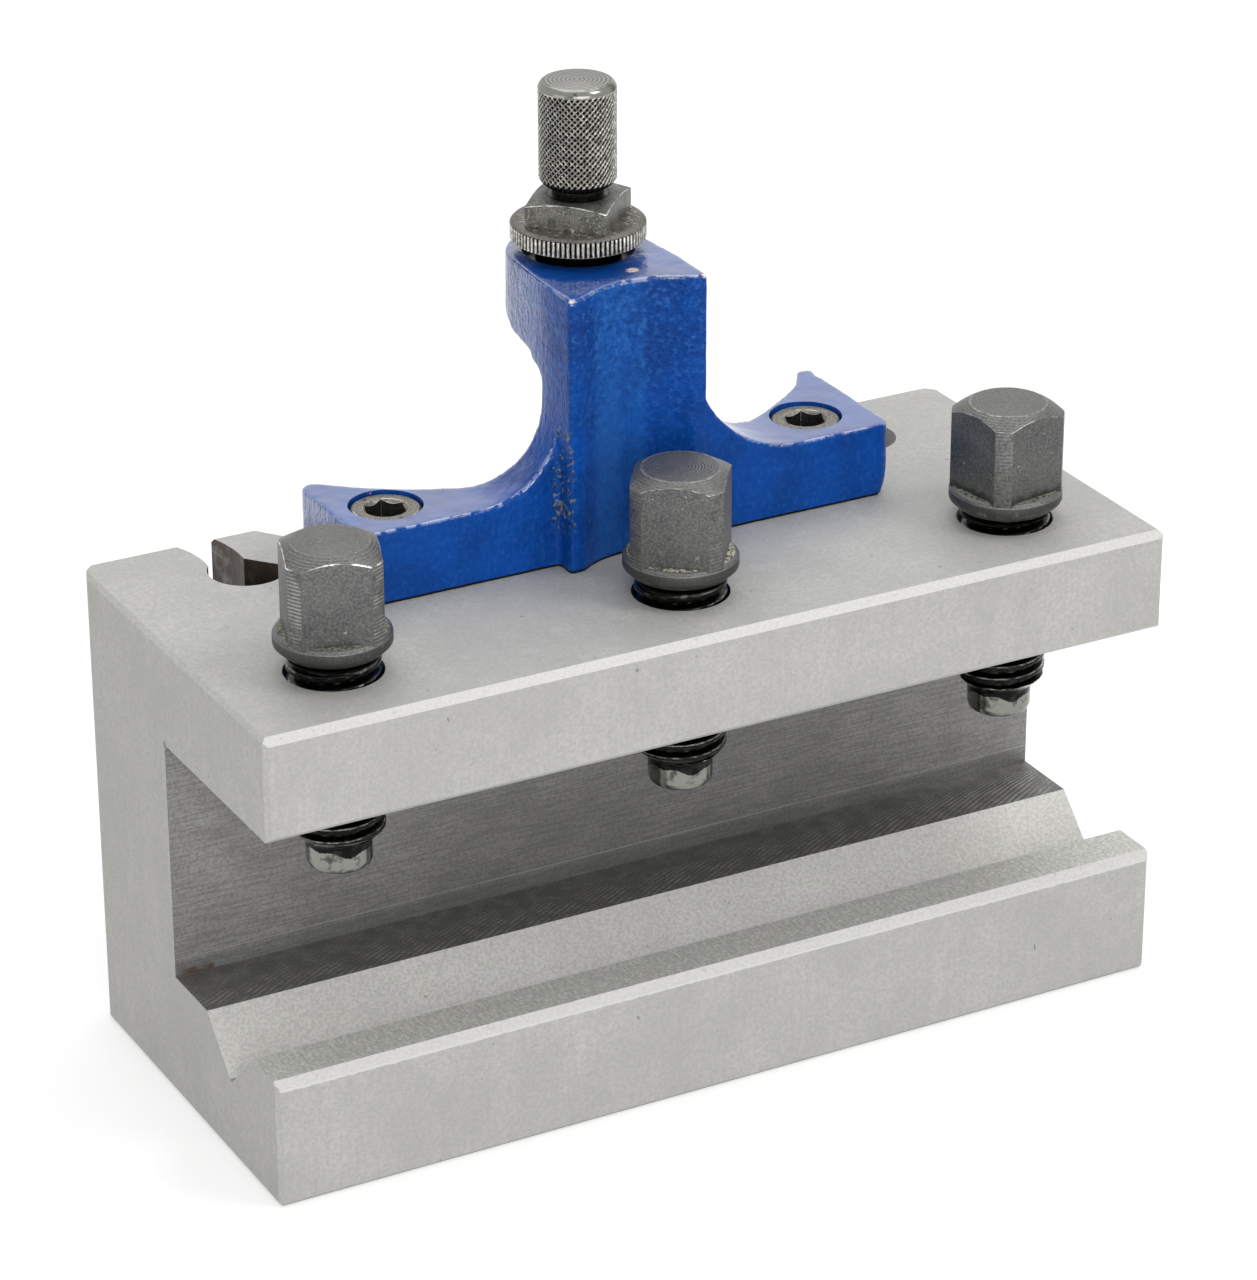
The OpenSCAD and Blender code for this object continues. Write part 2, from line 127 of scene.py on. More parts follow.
def start_material(name, **surface):
    """A new material: its tree, its shader with these constants, and the place on the piece in millimetres."""
    material = bpy.data.materials.new(name)
    material.use_nodes = True
    tree = material.node_tree
    shader = tree.nodes["Principled BSDF"]
    for socket, value in surface.items():
        shader.inputs[socket.replace("_", " ")].default_value = value
    place = add(tree, "TexCoord").outputs["Object"]
    place = add(tree, "VectorMath", {0: place, 1: (1 / MM, 1 / MM, 1 / MM)}, operation="MULTIPLY")
    return material, tree, shader, place.outputs[0]


def noise(tree, place, size, detail=2.0, rough=0.5):
    """Cloudy noise from 0 to 1. size is that of its blotches in mm, or three sizes where it is stretched."""
    if isinstance(size, tuple):
        shares = tuple(1 / s for s in size)
        place = add(tree, "VectorMath", {0: place, 1: shares}, operation="MULTIPLY").outputs[0]
        size = 1
    node = add(tree, "TexNoise", {"Vector": place, "Scale": 1 / size, "Detail": detail, "Roughness": rough})
    return node.outputs[0]


def remap(tree, value, low, high, to_low=0.0, to_high=1.0):
    """Value stretched from low..high to to_low..to_high, with soft ends."""
    sockets = {0: value, 1: low, 2: high, 3: to_low, 4: to_high}
    return add(tree, "MapRange", sockets, interpolation_type="SMOOTHSTEP").outputs[0]


def mixed(tree, share, first, second):
    """One colour turning to another: each is a hex code or another node's output."""
    first, second = [linear(c) if isinstance(c, str) else c for c in (first, second)]
    return add(tree, "Mix", {0: share, 6: first, 7: second}, data_type="RGBA").outputs[2]


def both(tree, first, second, operation="MULTIPLY"):
    return add(tree, "Math", {0: first, 1: second}, operation=operation).outputs[0]


def band(tree, value, low, high, soft):
    """One between low and high, with soft edges of this width."""
    return both(tree, remap(tree, value, low - soft, low), remap(tree, value, high + soft, high))


def part_of(tree, place, axis):
    """X, Y or Z of a place."""
    return add(tree, "SeparateXYZ", {0: place}).outputs[axis]


def from_axis(tree, place, axis):
    """Distance in mm from an upright axis."""
    level = add(tree, "VectorMath", {0: place, 1: (1, 1, 0)}, operation="MULTIPLY").outputs[0]
    centre = (axis.x / MM, axis.y / MM, 0)
    return add(tree, "VectorMath", {0: level, 1: centre}, operation="DISTANCE").outputs["Value"]


def from_clamp_axes(tree, place):
    """Distance in mm from the nearest clamp screw's axis: X is folded twice, until the three are one."""
    half_pitch = clamp_axes["right"].x / MM / 2
    across = part_of(tree, place, "X")
    for _ in range(2):
        across = both(tree, both(tree, across, 0, "ABSOLUTE"), half_pitch, "SUBTRACT")
    along = both(tree, part_of(tree, place, "Y"), clamp_axes["middle"].y / MM, "SUBTRACT")
    flat = add(tree, "CombineXYZ", {0: across, 1: along}).outputs[0]
    return add(tree, "VectorMath", {0: flat}, operation="LENGTH").outputs["Value"]


def bump(tree, height, depth, normal=None):
    """A bump of this depth in mm, where the height goes from 0 to 1."""
    sockets = {"Height": height, "Distance": depth * MM, "Strength": 1.0}
    if normal:
        sockets["Normal"] = normal
    return add(tree, "Bump", sockets).outputs[0]


def finished(material, tree, shader, colour, relief=None):
    """The material, with its colour and its relief linked to the shader."""
    tree.links.new(colour, shader.inputs["Base Color"])
    if relief:
        tree.links.new(relief, shader.inputs["Normal"])
    return material


def ground_steel():
    """Ground tool steel, satin: pale even grey with faint clouds, a fine grain, hair scratches and a few pits.
    Along the foot of the front's lower chamfer runs a ragged brighter strip."""
    material, tree, shader, place = start_material("ground_tool_steel_satin", Metallic=0.12)
    clouds = noise(tree, place, 14, 4)
    patches = noise(tree, place, (4, 4, 16), 4)
    grain = noise(tree, place, 0.45, 2)
    coarse = noise(tree, place, 1.4, 3)
    streaks = noise(tree, place, (0.6, 0.6, 7), 3)
    hairs = both(tree, both(tree, noise(tree, place, 3.5, 2), 0.5, "SUBTRACT"), 0, "ABSOLUTE")
    hairs = both(tree, remap(tree, hairs, 0.006, 0.002), remap(tree, noise(tree, place, 9, 1), 0.52, 0.6))
    pits = remap(tree, noise(tree, place, 1.1, 1), 0.79, 0.81)
    height = part_of(tree, place, "Z")
    ragged = both(tree, height, both(tree, noise(tree, place, 0.8, 4, 0.7), 0.5), "SUBTRACT")
    ragged = band(tree, ragged, slot_floor_z / MM - 1.6, slot_floor_z / MM - 1, 0.05)
    ragged = both(tree, ragged, remap(tree, part_of(tree, place, "Y"), front_y / MM + 0.2, front_y / MM + 0.1))
    colour = mixed(tree, remap(tree, clouds, 0.35, 0.65), "#B2B1AE", "#BCBBB7")
    colour = mixed(tree, remap(tree, patches, 0.52, 0.72, 0.0, 0.35), colour, "#C8C6C3")
    colour = mixed(tree, remap(tree, coarse, 0.4, 0.62, 0.0, 0.1), colour, "#A3A29E")
    colour = mixed(tree, remap(tree, streaks, 0.45, 0.7, 0.0, 0.18), colour, "#A3A29E")
    colour = mixed(tree, remap(tree, grain, 0.3, 0.7, 0.0, 0.5), colour, "#A09F9C")
    colour = mixed(tree, both(tree, hairs, 0.35), colour, "#8E8E8B")
    colour = mixed(tree, both(tree, pits, 0.7), colour, "#6A6A67")
    colour = mixed(tree, both(tree, ragged, 0.8), colour, "#DAD9D6")
    tree.links.new(colour, shader.inputs["Base Color"])
    tree.links.new(remap(tree, clouds, 0.3, 0.7, 0.6, 0.7), shader.inputs["Roughness"])
    tree.links.new(bump(tree, grain, 0.02, bump(tree, coarse, 0.02)), shader.inputs["Normal"])
    return material


def ground_edge():
    """The same steel where a stone has broken the edges: almost white, with dark specks."""
    material, tree, shader, place = start_material("stoned_steel_edge", Metallic=0.25, Roughness=0.5)
    grain = noise(tree, place, 0.4, 2)
    specks = remap(tree, noise(tree, place, 0.9, 3), 0.64, 0.72, 0.0, 0.3)
    colour = mixed(tree, remap(tree, grain, 0.3, 0.7), "#B8B7B4", "#C2C1BE")
    colour = mixed(tree, specks, colour, "#8B8A87")
    return finished(material, tree, shader, colour, bump(tree, grain, 0.012))


def slot_wall_steel():
    """The slot's rear wall, ground along its length: mid grey, with painted shade darkening its middle, a fine grain
    and long fine lines. A thin bright line and a darker strip of painted shade run along its foot, with a spot of rust
    at the left end."""
    material, tree, shader, place = start_material("slot_wall_lengthwise_ground", Metallic=0.5, Roughness=0.48)
    lines = noise(tree, place, (7, 1, 0.3), 3)
    scratches = noise(tree, place, (14, 1, 0.4), 3)
    clouds = noise(tree, place, 10, 3)
    grain = noise(tree, place, 0.4, 3)
    along = part_of(tree, place, "X")
    above = both(tree, part_of(tree, place, "Z"), slot_floor_z / MM, "SUBTRACT")
    colour = mixed(tree, remap(tree, clouds, 0.3, 0.7), "#8D8C8B", "#9D9C9A")
    colour = mixed(tree, remap(tree, lines, 0.42, 0.6, 0.0, 0.5), colour, "#717070")
    colour = mixed(tree, remap(tree, grain, 0.4, 0.65, 0.0, 0.4), colour, "#5E5D5C")
    colour = mixed(tree, remap(tree, scratches, 0.64, 0.76, 0.0, 0.4), colour, "#A5A4A1")
    # Painted shade: the wall turns darker towards its middle.
    middle = band(tree, along, -12, 22, 50)
    colour = mixed(tree, both(tree, middle, 0.3), colour, "#484847")
    # Painted shade: a darker strip along the foot of the wall, in the corner with the floor.
    colour = mixed(tree, both(tree, remap(tree, above, 2.6, 1.4), 0.35), colour, "#4C4C4B")
    line = both(tree, band(tree, above, 2.45, 2.5, 0.1), remap(tree, lines, 0.3, 0.6, 0.1, 0.5))
    colour = mixed(tree, line, colour, "#B5B5B2")
    rust = both(tree, band(tree, along, -63.5, -60, 1.5), remap(tree, above, 2.4, 0.4))
    rust = remap(tree, both(tree, rust, noise(tree, place, 1.5, 4, 0.65)), 0.3, 0.55, 0.0, 0.8)
    colour = mixed(tree, rust, colour, "#5A4032")
    return finished(material, tree, shader, colour, bump(tree, lines, 0.02, bump(tree, grain, 0.03)))


def milled_floor_steel():
    """The slot's floor, left from the mill: dark grey. The cutter's rim touched the rear wall, and each turn of it
    left an arc beside the last."""
    material, tree, shader, place = start_material("slot_floor_milled", Metallic=0.5, Roughness=0.45)
    cutter_r, feed = 60, 1.5
    across = both(tree, part_of(tree, place, "Y"), slot_back_y / MM - cutter_r, "SUBTRACT")
    arc = both(tree, cutter_r ** 2, both(tree, across, 2, "POWER"), "SUBTRACT")
    arc = both(tree, both(tree, arc, 0, "MAXIMUM"), 0.5, "POWER")
    turns = both(tree, both(tree, part_of(tree, place, "X"), arc, "ADD"), 1 / feed)
    turns = both(tree, turns, both(tree, noise(tree, place, 2.5, 3), 0.6), "ADD")
    marks = both(tree, both(tree, turns, math.tau), 0, "SINE")
    grain = noise(tree, place, 0.4, 3)
    share = both(tree, remap(tree, marks, -1, 1), remap(tree, noise(tree, place, 2.2, 3), 0.35, 0.65))
    colour = mixed(tree, share, "#72716E", "#979692")
    colour = mixed(tree, remap(tree, grain, 0.4, 0.65, 0.0, 0.5), colour, "#4F4E4C")
    return finished(material, tree, shader, colour, bump(tree, marks, 0.03, bump(tree, grain, 0.03)))


def milled_land_steel():
    """The land in front of the groove: pale grey, with short wavy marks across it."""
    material, tree, shader, place = start_material("front_land_fly_cut", Metallic=0.3, Roughness=0.5)
    ripples = noise(tree, place, (0.5, 1.8, 2), 3)
    grain = noise(tree, place, 0.45, 2)
    colour = mixed(tree, remap(tree, ripples, 0.35, 0.65), "#C6C5C0", "#DAD9D4")
    colour = mixed(tree, remap(tree, grain, 0.35, 0.65, 0.0, 0.5), colour, "#9A9995")
    return finished(material, tree, shader, colour, bump(tree, ripples, 0.09, bump(tree, grain, 0.04)))


def groove_steel():
    """The flanks of the prism groove: light grey with a grain like fine sandpaper."""
    material, tree, shader, place = start_material("groove_flank_ground", Metallic=0.25, Roughness=0.52)
    grain = noise(tree, place, 0.4, 3)
    clouds = noise(tree, place, 12, 2)
    specks = remap(tree, noise(tree, place, 0.8, 3), 0.7, 0.75, 0.0, 0.5)
    colour = mixed(tree, remap(tree, clouds, 0.3, 0.7), "#C7C6C2", "#CECDC9")
    colour = mixed(tree, remap(tree, grain, 0.35, 0.65, 0.0, 0.5), colour, "#A2A19D")
    colour = mixed(tree, specks, colour, "#7D766E")
    return finished(material, tree, shader, colour, bump(tree, grain, 0.05))


def pocket_steel():
    """Milled walls of the claw pockets and the seat: mid grey, and in the left pocket brown where oil has dried."""
    material, tree, shader, place = start_material("pocket_wall_milled", Metallic=0.5, Roughness=0.45)
    grain = noise(tree, place, (0.8, 0.8, 3), 3)
    fine = noise(tree, place, 0.4, 3)
    along = part_of(tree, place, "X")
    oil = both(tree, band(tree, along, -46.2, -40.5, 0.7), noise(tree, place, 2.5, 3))
    colour = mixed(tree, remap(tree, grain, 0.3, 0.7), "#747370", "#94938F")
    colour = mixed(tree, remap(tree, fine, 0.4, 0.65, 0.0, 0.5), colour, "#4D4C49")
    colour = mixed(tree, remap(tree, oil, 0.25, 0.5, 0.0, 0.85), colour, "#3C2B1D")
    # Painted light: towards the right pocket the wall turns pale, as if lit.
    colour = mixed(tree, remap(tree, along, 45, 47, 0.0, 0.8), colour, "#DAD9D5")
    return finished(material, tree, shader, colour, bump(tree, grain, 0.03, bump(tree, fine, 0.03)))


def oiled_bore_steel():
    """Threaded bores: black with oil."""
    material, tree, shader, place = start_material("oiled_bore", Metallic=0.6, Roughness=0.4)
    smear = noise(tree, place, 0.8, 3)
    colour = mixed(tree, remap(tree, smear, 0.4, 0.65), "#0E0E0D", "#2A2927")
    return finished(material, tree, shader, colour, bump(tree, smear, 0.03))


def blue_paint():
    """Gloss enamel on a rough casting: deep blue, wrinkled like orange peel on the upright faces, with painted
    highlight on the wrinkles' crests, painted shade in their hollows and a painted sheen down the flute. Seen at a
    slant it mirrors the white tent. Pale spots on two corners and on top, and specks along sharp edges, are painted
    chips and painted glints; olive dirt sits beside the flute, and a band of painted contact shadow runs along the
    foot."""
    material, tree, shader, place = start_material(
        "blue_enamel_on_cast_iron", Roughness=0.4, Coat_Roughness=0.1, Coat_IOR=2.4, Specular_IOR_Level=0.14)
    across, along, height = [part_of(tree, place, axis) for axis in "XYZ"]
    upward = part_of(tree, add(tree, "TexCoord").outputs["Normal"], "Z")
    upright = remap(tree, upward, 0.8, 0.4)
    peel = noise(tree, place, 0.8, 4, 0.6)
    swell = noise(tree, place, 3.0, 2)
    runs = both(tree, noise(tree, place, (0.7, 0.7, 5), 3), upright)
    wrinkled = both(tree, remap(tree, height, 80, 98, 0.35, 1), remap(tree, upright, 0, 1, 0.15, 1))
    tone = noise(tree, place, 7, 3)
    relief = bump(tree, swell, 0.1, bump(tree, both(tree, peel, wrinkled), 0.4, bump(tree, runs, 0.14)))

    colour = mixed(tree, remap(tree, tone, 0.3, 0.7), "#013B86", "#02479C")
    # Painted sheen: a lighter band down the flute.
    painted_flute_sheen = both(tree, band(tree, across, -4.5, 1, 2), remap(tree, along, -1, -1.4))
    colour = mixed(tree, both(tree, painted_flute_sheen, 0.5), colour, "#2061AE")
    # Painted highlight and shade: the wrinkles' crests are lighter and their hollows darker.
    painted_crest_highlight = both(tree, remap(tree, peel, 0.5, 0.68), wrinkled)
    colour = mixed(tree, both(tree, painted_crest_highlight, 0.4), colour, "#3C78C4")
    painted_hollow_shade = both(tree, remap(tree, peel, 0.5, 0.36), wrinkled)
    colour = mixed(tree, both(tree, painted_hollow_shade, 0.5), colour, "#002E6C")
    ragged = both(tree, both(tree, noise(tree, place, 0.9, 4, 0.7), 0.5, "SUBTRACT"), 3)
    dirty = both(tree, band(tree, both(tree, across, ragged, "ADD"), -10.9, -9.8, 0.5), band(tree, height, 72, 84, 2))
    dirty = both(tree, dirty, remap(tree, along, -0.2, -0.8))
    dirt = mixed(tree, remap(tree, noise(tree, place, 0.6, 3), 0.45, 0.55), "#1B2C45", "#7E7D62")
    colour = mixed(tree, both(tree, dirty, remap(tree, noise(tree, place, 0.7, 3), 0.5, 0.58, 0.0, 0.8)), colour, dirt)
    # Painted contact shadow: a near-black band along the foot, where the casting meets the body.
    foot = both(tree, height, both(tree, ragged, 0.04), "ADD")
    colour = mixed(tree, remap(tree, foot, body_top_z / MM + 0.45, body_top_z / MM + 0.3), colour, "#0B0B0C")

    pointed = add(tree, "NewGeometry").outputs["Pointiness"]
    sharp = remap(tree, pointed, 0.53, 0.55)
    # Pale spots along sharp edges and at three given places stand for chips and also for glints, as painted
    # highlights.
    chips_and_painted_glints = both(tree, sharp, remap(tree, noise(tree, place, 0.9, 4, 0.65), 0.66, 0.7))
    arm_top = bracket_high.z / MM
    for spot, size in (((9.7, -3.9, arm_top), 0.6), ((-9.8, -4.0, arm_top), 0.6), ((2.2, 2.0, arm_top), 0.8)):
        away = add(tree, "VectorMath", {0: place, 1: spot}, operation="DISTANCE").outputs["Value"]
        away = both(tree, away, both(tree, noise(tree, place, 0.5, 4, 0.7), 2.4), "ADD")
        chips_and_painted_glints = both(tree, chips_and_painted_glints, remap(tree, away, size + 1.2, size + 1.12), "MAXIMUM")
    primer_and_glint_white = mixed(tree, remap(tree, noise(tree, place, 0.5, 2), 0.4, 0.6), "#DCB8AA", "#F6F0EA")
    colour = mixed(tree, chips_and_painted_glints, colour, primer_and_glint_white)

    slant = add(tree, "LayerWeight", {"Blend": 0.5, "Normal": relief}).outputs["Facing"]
    side_gloss = remap(tree, both(tree, along, both(tree, runs, 6), "ADD"), 2, 13, 0.1, 1)
    gloss = both(tree, side_gloss, remap(tree, upright, 1, 0), "MAXIMUM")
    gloss = both(tree, gloss, remap(tree, slant, 0.34, 0.6))
    glints = both(tree, remap(tree, pointed, 0.505, 0.52), remap(tree, noise(tree, place, 1.3, 2), 0.42, 0.5))
    gloss = both(tree, gloss, both(tree, glints, remap(tree, upward, 0.15, 0.4)), "MAXIMUM")
    tree.links.new(colour, shader.inputs["Base Color"])
    tree.links.new(gloss, shader.inputs["Coat Weight"])
    for socket in ("Normal", "Coat Normal"):
        tree.links.new(relief, shader.inputs[socket])
    return material


def machined_iron():
    """Spot face and bores in the casting: bare, shiny turned iron."""
    material, tree, shader, place = start_material("machined_cast_iron", Metallic=1.0, Roughness=0.3)
    grain = noise(tree, place, 0.4, 2)
    colour = mixed(tree, remap(tree, grain, 0.35, 0.65), "#4E4D4A", "#7A7873")
    return finished(material, tree, shader, colour)


def phosphated_steel():
    """Forged steel with a zinc phosphate coat: flat dark grey with small pale scuffs, and dirt above the collar."""
    material, tree, shader, place = start_material("phosphated_steel", Metallic=0.5)
    speckle = noise(tree, place, 0.3, 4, 0.65)
    clouds = noise(tree, place, 4, 3)
    scuffs = noise(tree, place, 0.8, 4, 0.7)
    strokes = noise(tree, place, (0.25, 0.25, 4), 2)
    collar_top = clamp_axes["middle"].z / MM + 9.5
    colour = mixed(tree, remap(tree, clouds, 0.3, 0.7), "#444545", "#545554")
    colour = mixed(tree, remap(tree, speckle, 0.4, 0.65, 0.0, 0.7), colour, "#72726F")
    colour = mixed(tree, remap(tree, strokes, 0.6, 0.8, 0.0, 0.4), colour, "#7C7C79")
    colour = mixed(tree, remap(tree, scuffs, 0.66, 0.7, 0.0, 0.8), colour, "#B5B4AD")
    low = part_of(tree, place, "Z")
    low = both(tree, low, both(tree, noise(tree, place, 1.6, 3), 3), "SUBTRACT")
    dirt = band(tree, low, collar_top - 2.6, collar_top - 1, 0.8)
    colour = mixed(tree, both(tree, dirt, 0.7), colour, "#2A2924")
    tree.links.new(colour, shader.inputs["Base Color"])
    tree.links.new(remap(tree, clouds, 0.3, 0.7, 0.4, 0.5), shader.inputs["Roughness"])
    tree.links.new(bump(tree, speckle, 0.03), shader.inputs["Normal"])
    return material


def worn_phosphate():
    """Turned tops and rubbed places of the same screws: a lighter grey with faint turning rings."""
    material, tree, shader, place = start_material("phosphated_steel_turned", Metallic=0.6, Roughness=0.42)
    speckle = noise(tree, place, 0.3, 4, 0.65)
    scuffs = noise(tree, place, 0.9, 4, 0.7)
    away = both(tree, from_clamp_axes(tree, place), both(tree, noise(tree, place, 1.5, 2), 0.3), "ADD")
    rings = both(tree, both(tree, away, math.tau / 0.4), 0, "SINE")
    flat_edge = band(tree, away, 5.15, 5.25, 0.15)
    colour = mixed(tree, remap(tree, speckle, 0.35, 0.65), "#4E4E4D", "#6C6C6A")
    colour = mixed(tree, remap(tree, rings, -1, 1, 0.0, 0.2), colour, "#838380")
    colour = mixed(tree, both(tree, flat_edge, remap(tree, scuffs, 0.4, 0.6, 0.1, 0.8)), colour, "#A9A8A4")
    colour = mixed(tree, remap(tree, scuffs, 0.68, 0.74, 0.0, 0.7), colour, "#A9A8A2")
    return finished(material, tree, shader, colour, bump(tree, rings, 0.015, bump(tree, speckle, 0.03)))


def turned_corner():
    """Corners of the square heads, turned with a coarse feed that left level ridges half a millimetre apart."""
    material, tree, shader, place = start_material("phosphated_steel_coarse_turned", Metallic=0.6, Roughness=0.42)
    speckle = noise(tree, place, 0.4, 3)
    level = both(tree, part_of(tree, place, "Z"), both(tree, noise(tree, place, 0.8, 2), 0.15), "ADD")
    ridges = both(tree, both(tree, level, math.tau / 0.5), 0, "SINE")
    ridges = both(tree, remap(tree, ridges, -1, 1), remap(tree, noise(tree, place, 2.5, 2), 0.35, 0.6))
    ridges = both(tree, ridges, remap(tree, part_of(tree, place, "X"), -40, -30, 0.7, 0.2))
    colour = mixed(tree, remap(tree, speckle, 0.35, 0.65), "#4E4E4D", "#686867")
    colour = mixed(tree, ridges, colour, "#A2A29F")
    return finished(material, tree, shader, colour, bump(tree, ridges, 0.05))


def dried_grease():
    """Grease and filings that dried on top of the collars: pale olive grains on dark steel."""
    material, tree, shader, place = start_material("dried_grease_grains", Metallic=0.2, Roughness=0.6)
    grains = noise(tree, place, 0.45, 3, 0.7)
    pale = band(tree, part_of(tree, place, "X"), -6, 6, 3)
    colour = mixed(tree, remap(tree, grains, 0.42, 0.58), "#3F3E38", "#8B897C")
    colour = mixed(tree, both(tree, pale, remap(tree, grains, 0.45, 0.55)), colour, "#C0BDA6")
    return finished(material, tree, shader, colour, bump(tree, grains, 0.12))


def bright_arris():
    """Edges where the coat has worn through to bright steel, here and there."""
    material, tree, shader, place = start_material("worn_bright_edge", Metallic=0.9, Roughness=0.35)
    wear = noise(tree, place, 1.6, 3)
    colour = mixed(tree, remap(tree, wear, 0.4, 0.62), "#62625F", "#DAD9D5")
    return finished(material, tree, shader, colour)


def polished_steel():
    """Dog points and the knob's shoulder, turned and rubbed smooth: they mirror what is round them."""
    material, tree, shader, place = start_material("polished_turned_steel", Metallic=1.0, Roughness=0.17)
    smear = noise(tree, place, 1.6, 3, 0.6)
    colour = mixed(tree, remap(tree, smear, 0.5, 0.68), "#878781", "#4E4D49")
    return finished(material, tree, shader, colour, bump(tree, smear, 0.02))


def oiled_thread():
    """Rolled threads wet with black oil. Both edges of each crest are rubbed to thin bright lines, which show most
    on the clean thread below the jaw."""
    material, tree, shader, place = start_material("oiled_black_thread", Metallic=0.9, Roughness=0.22)
    smear = noise(tree, place, 1.1, 3)
    away = from_clamp_axes(tree, place)
    lines = both(tree, band(tree, away, 5.78, 5.9, 0.07), remap(tree, smear, 0.62, 0.45, 0.15, 1))
    lines = both(tree, lines, remap(tree, part_of(tree, place, "Z"), 60, 56, 0.25, 1))
    colour = mixed(tree, remap(tree, smear, 0.45, 0.7), "#131312", "#2C2B29")
    colour = mixed(tree, lines, colour, "#C9C8C4")
    return finished(material, tree, shader, colour, bump(tree, smear, 0.04))


def thread_crest():
    """Crests of the same threads, rubbed bright, with oil over them in places."""
    material, tree, shader, place = start_material("rubbed_thread_crest", Metallic=1.0, Roughness=0.22)
    smear = noise(tree, place, 1.4, 3)
    colour = mixed(tree, remap(tree, smear, 0.4, 0.6), "#B5B4B0", "#2E2D2B")
    return finished(material, tree, shader, colour)


def knurled_steel(name, axis, outer_r, depth):
    """Rolled knurl on plain steel: bright ridges, and black painted shade in the pits between the two radii."""
    material, tree, shader, place = start_material(name, Metallic=0.9, Roughness=0.32)
    speckle = noise(tree, place, 0.5, 3)
    deep = from_axis(tree, place, axis)
    deep = both(tree, deep, both(tree, both(tree, speckle, 0.5, "SUBTRACT"), 0.35 * depth / MM), "ADD")
    colour = mixed(tree, remap(tree, speckle, 0.3, 0.7), "#8F8D86", "#CFCDC6")
    # Painted shade: black in the knurl's pits, by depth between the two radii.
    colour = mixed(tree, remap(tree, deep, (outer_r - 0.8 * depth) / MM, (outer_r - 0.1 * depth) / MM),
                   "#0E0D0C", colour)
    return finished(material, tree, shader, colour)


def turned_knob_top():
    """Top of the knurled head, turned: fine rings about the axis."""
    material, tree, shader, place = start_material("turned_steel_rings", Metallic=1.0, Roughness=0.36)
    centre = (height_axis.x / MM, height_axis.y / MM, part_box("height_screw")[1].z / MM)
    away = add(tree, "VectorMath", {0: place, 1: centre}, operation="DISTANCE").outputs["Value"]
    rings = both(tree, both(tree, away, math.tau / 0.55), 0, "SINE")
    speckle = noise(tree, place, 0.4, 2)
    colour = mixed(tree, remap(tree, rings, -1, 1), "#696865", "#9C9B96")
    colour = mixed(tree, remap(tree, speckle, 0.4, 0.7, 0.0, 0.3), colour, "#6F6E6A")
    return finished(material, tree, shader, colour, bump(tree, rings, 0.02))


def blackened_steel():
    """Blackened lock nut: dark grey-brown, rubbed paler in places, with crumbs of rust and grease on its flange."""
    material, tree, shader, place = start_material("blackened_steel_nut", Metallic=0.6, Roughness=0.42)
    clouds = noise(tree, place, 1.8, 3)
    speckle = noise(tree, place, 0.28, 4, 0.7)
    crumbs = noise(tree, place, 0.7, 4, 0.7)
    colour = mixed(tree, remap(tree, clouds, 0.3, 0.7), "#42413D", "#5F5E58")
    colour = mixed(tree, remap(tree, speckle, 0.45, 0.7, 0.0, 0.7), colour, "#93928A")
    level = part_of(tree, place, "Z")
    flange_top = (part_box("lock_nut")[1].z - 3.4 * MM) / MM
    foot = both(tree, band(tree, level, flange_top - 0.05, flange_top + 0.3, 0.2),
                band(tree, from_axis(tree, place, height_axis), 5.2, 7.6, 0.5))
    foot = both(tree, foot, remap(tree, crumbs, 0.54, 0.6))
    grain = mixed(tree, remap(tree, noise(tree, place, 0.5, 2), 0.4, 0.6), "#7E6B55", "#C9C3B6")
    colour = mixed(tree, foot, colour, grain)
    return finished(material, tree, shader, colour, bump(tree, crumbs, 0.06, bump(tree, speckle, 0.04)))


def cap_screw_steel():
    """Heads of the cap screws, rubbed bare: warm grey with dark specks."""
    material, tree, shader, place = start_material("cap_screw_rubbed_steel", Metallic=0.7, Roughness=0.42)
    speckle = noise(tree, place, 0.4, 4, 0.65)
    specks = noise(tree, place, 0.9, 3)
    colour = mixed(tree, remap(tree, speckle, 0.35, 0.65), "#605D57", "#8C887F")
    colour = mixed(tree, remap(tree, specks, 0.62, 0.68, 0.0, 0.8), colour, "#22201C")
    return finished(material, tree, shader, colour, bump(tree, speckle, 0.03))


def socket_black():
    """Inside of the hexagon sockets: black oxide with dirt."""
    material, tree, shader, place = start_material("socket_black_oxide", Metallic=0.4, Roughness=0.45)
    speckle = noise(tree, place, 0.5, 2)
    colour = mixed(tree, remap(tree, speckle, 0.35, 0.65), "#0E0E0D", "#262522")
    return finished(material, tree, shader, colour)


# Modelling helpers

def work_on(piece):
    """Makes this the one piece that operators act on."""
    bpy.ops.object.select_all(action="DESELECT")
    piece.select_set(True)
    bpy.context.view_layer.objects.active = piece


def added(name):
    """The primitive that was just added, under its own name, with its place in its mesh."""
    piece = bpy.context.object
    piece.name = piece.data.name = name
    work_on(piece)
    bpy.ops.object.transform_apply(location=True, rotation=True, scale=True)
    return piece


def block(name, low, high, turn=0.0):
    """A block between two corners, turned about its upright middle line."""
    low, high = Vector(low), Vector(high)
    bpy.ops.object.select_all(action="DESELECT")
    bpy.ops.mesh.primitive_cube_add(size=1, location=(low + high) / 2, rotation=(0, 0, turn), scale=high - low)
    return added(name)


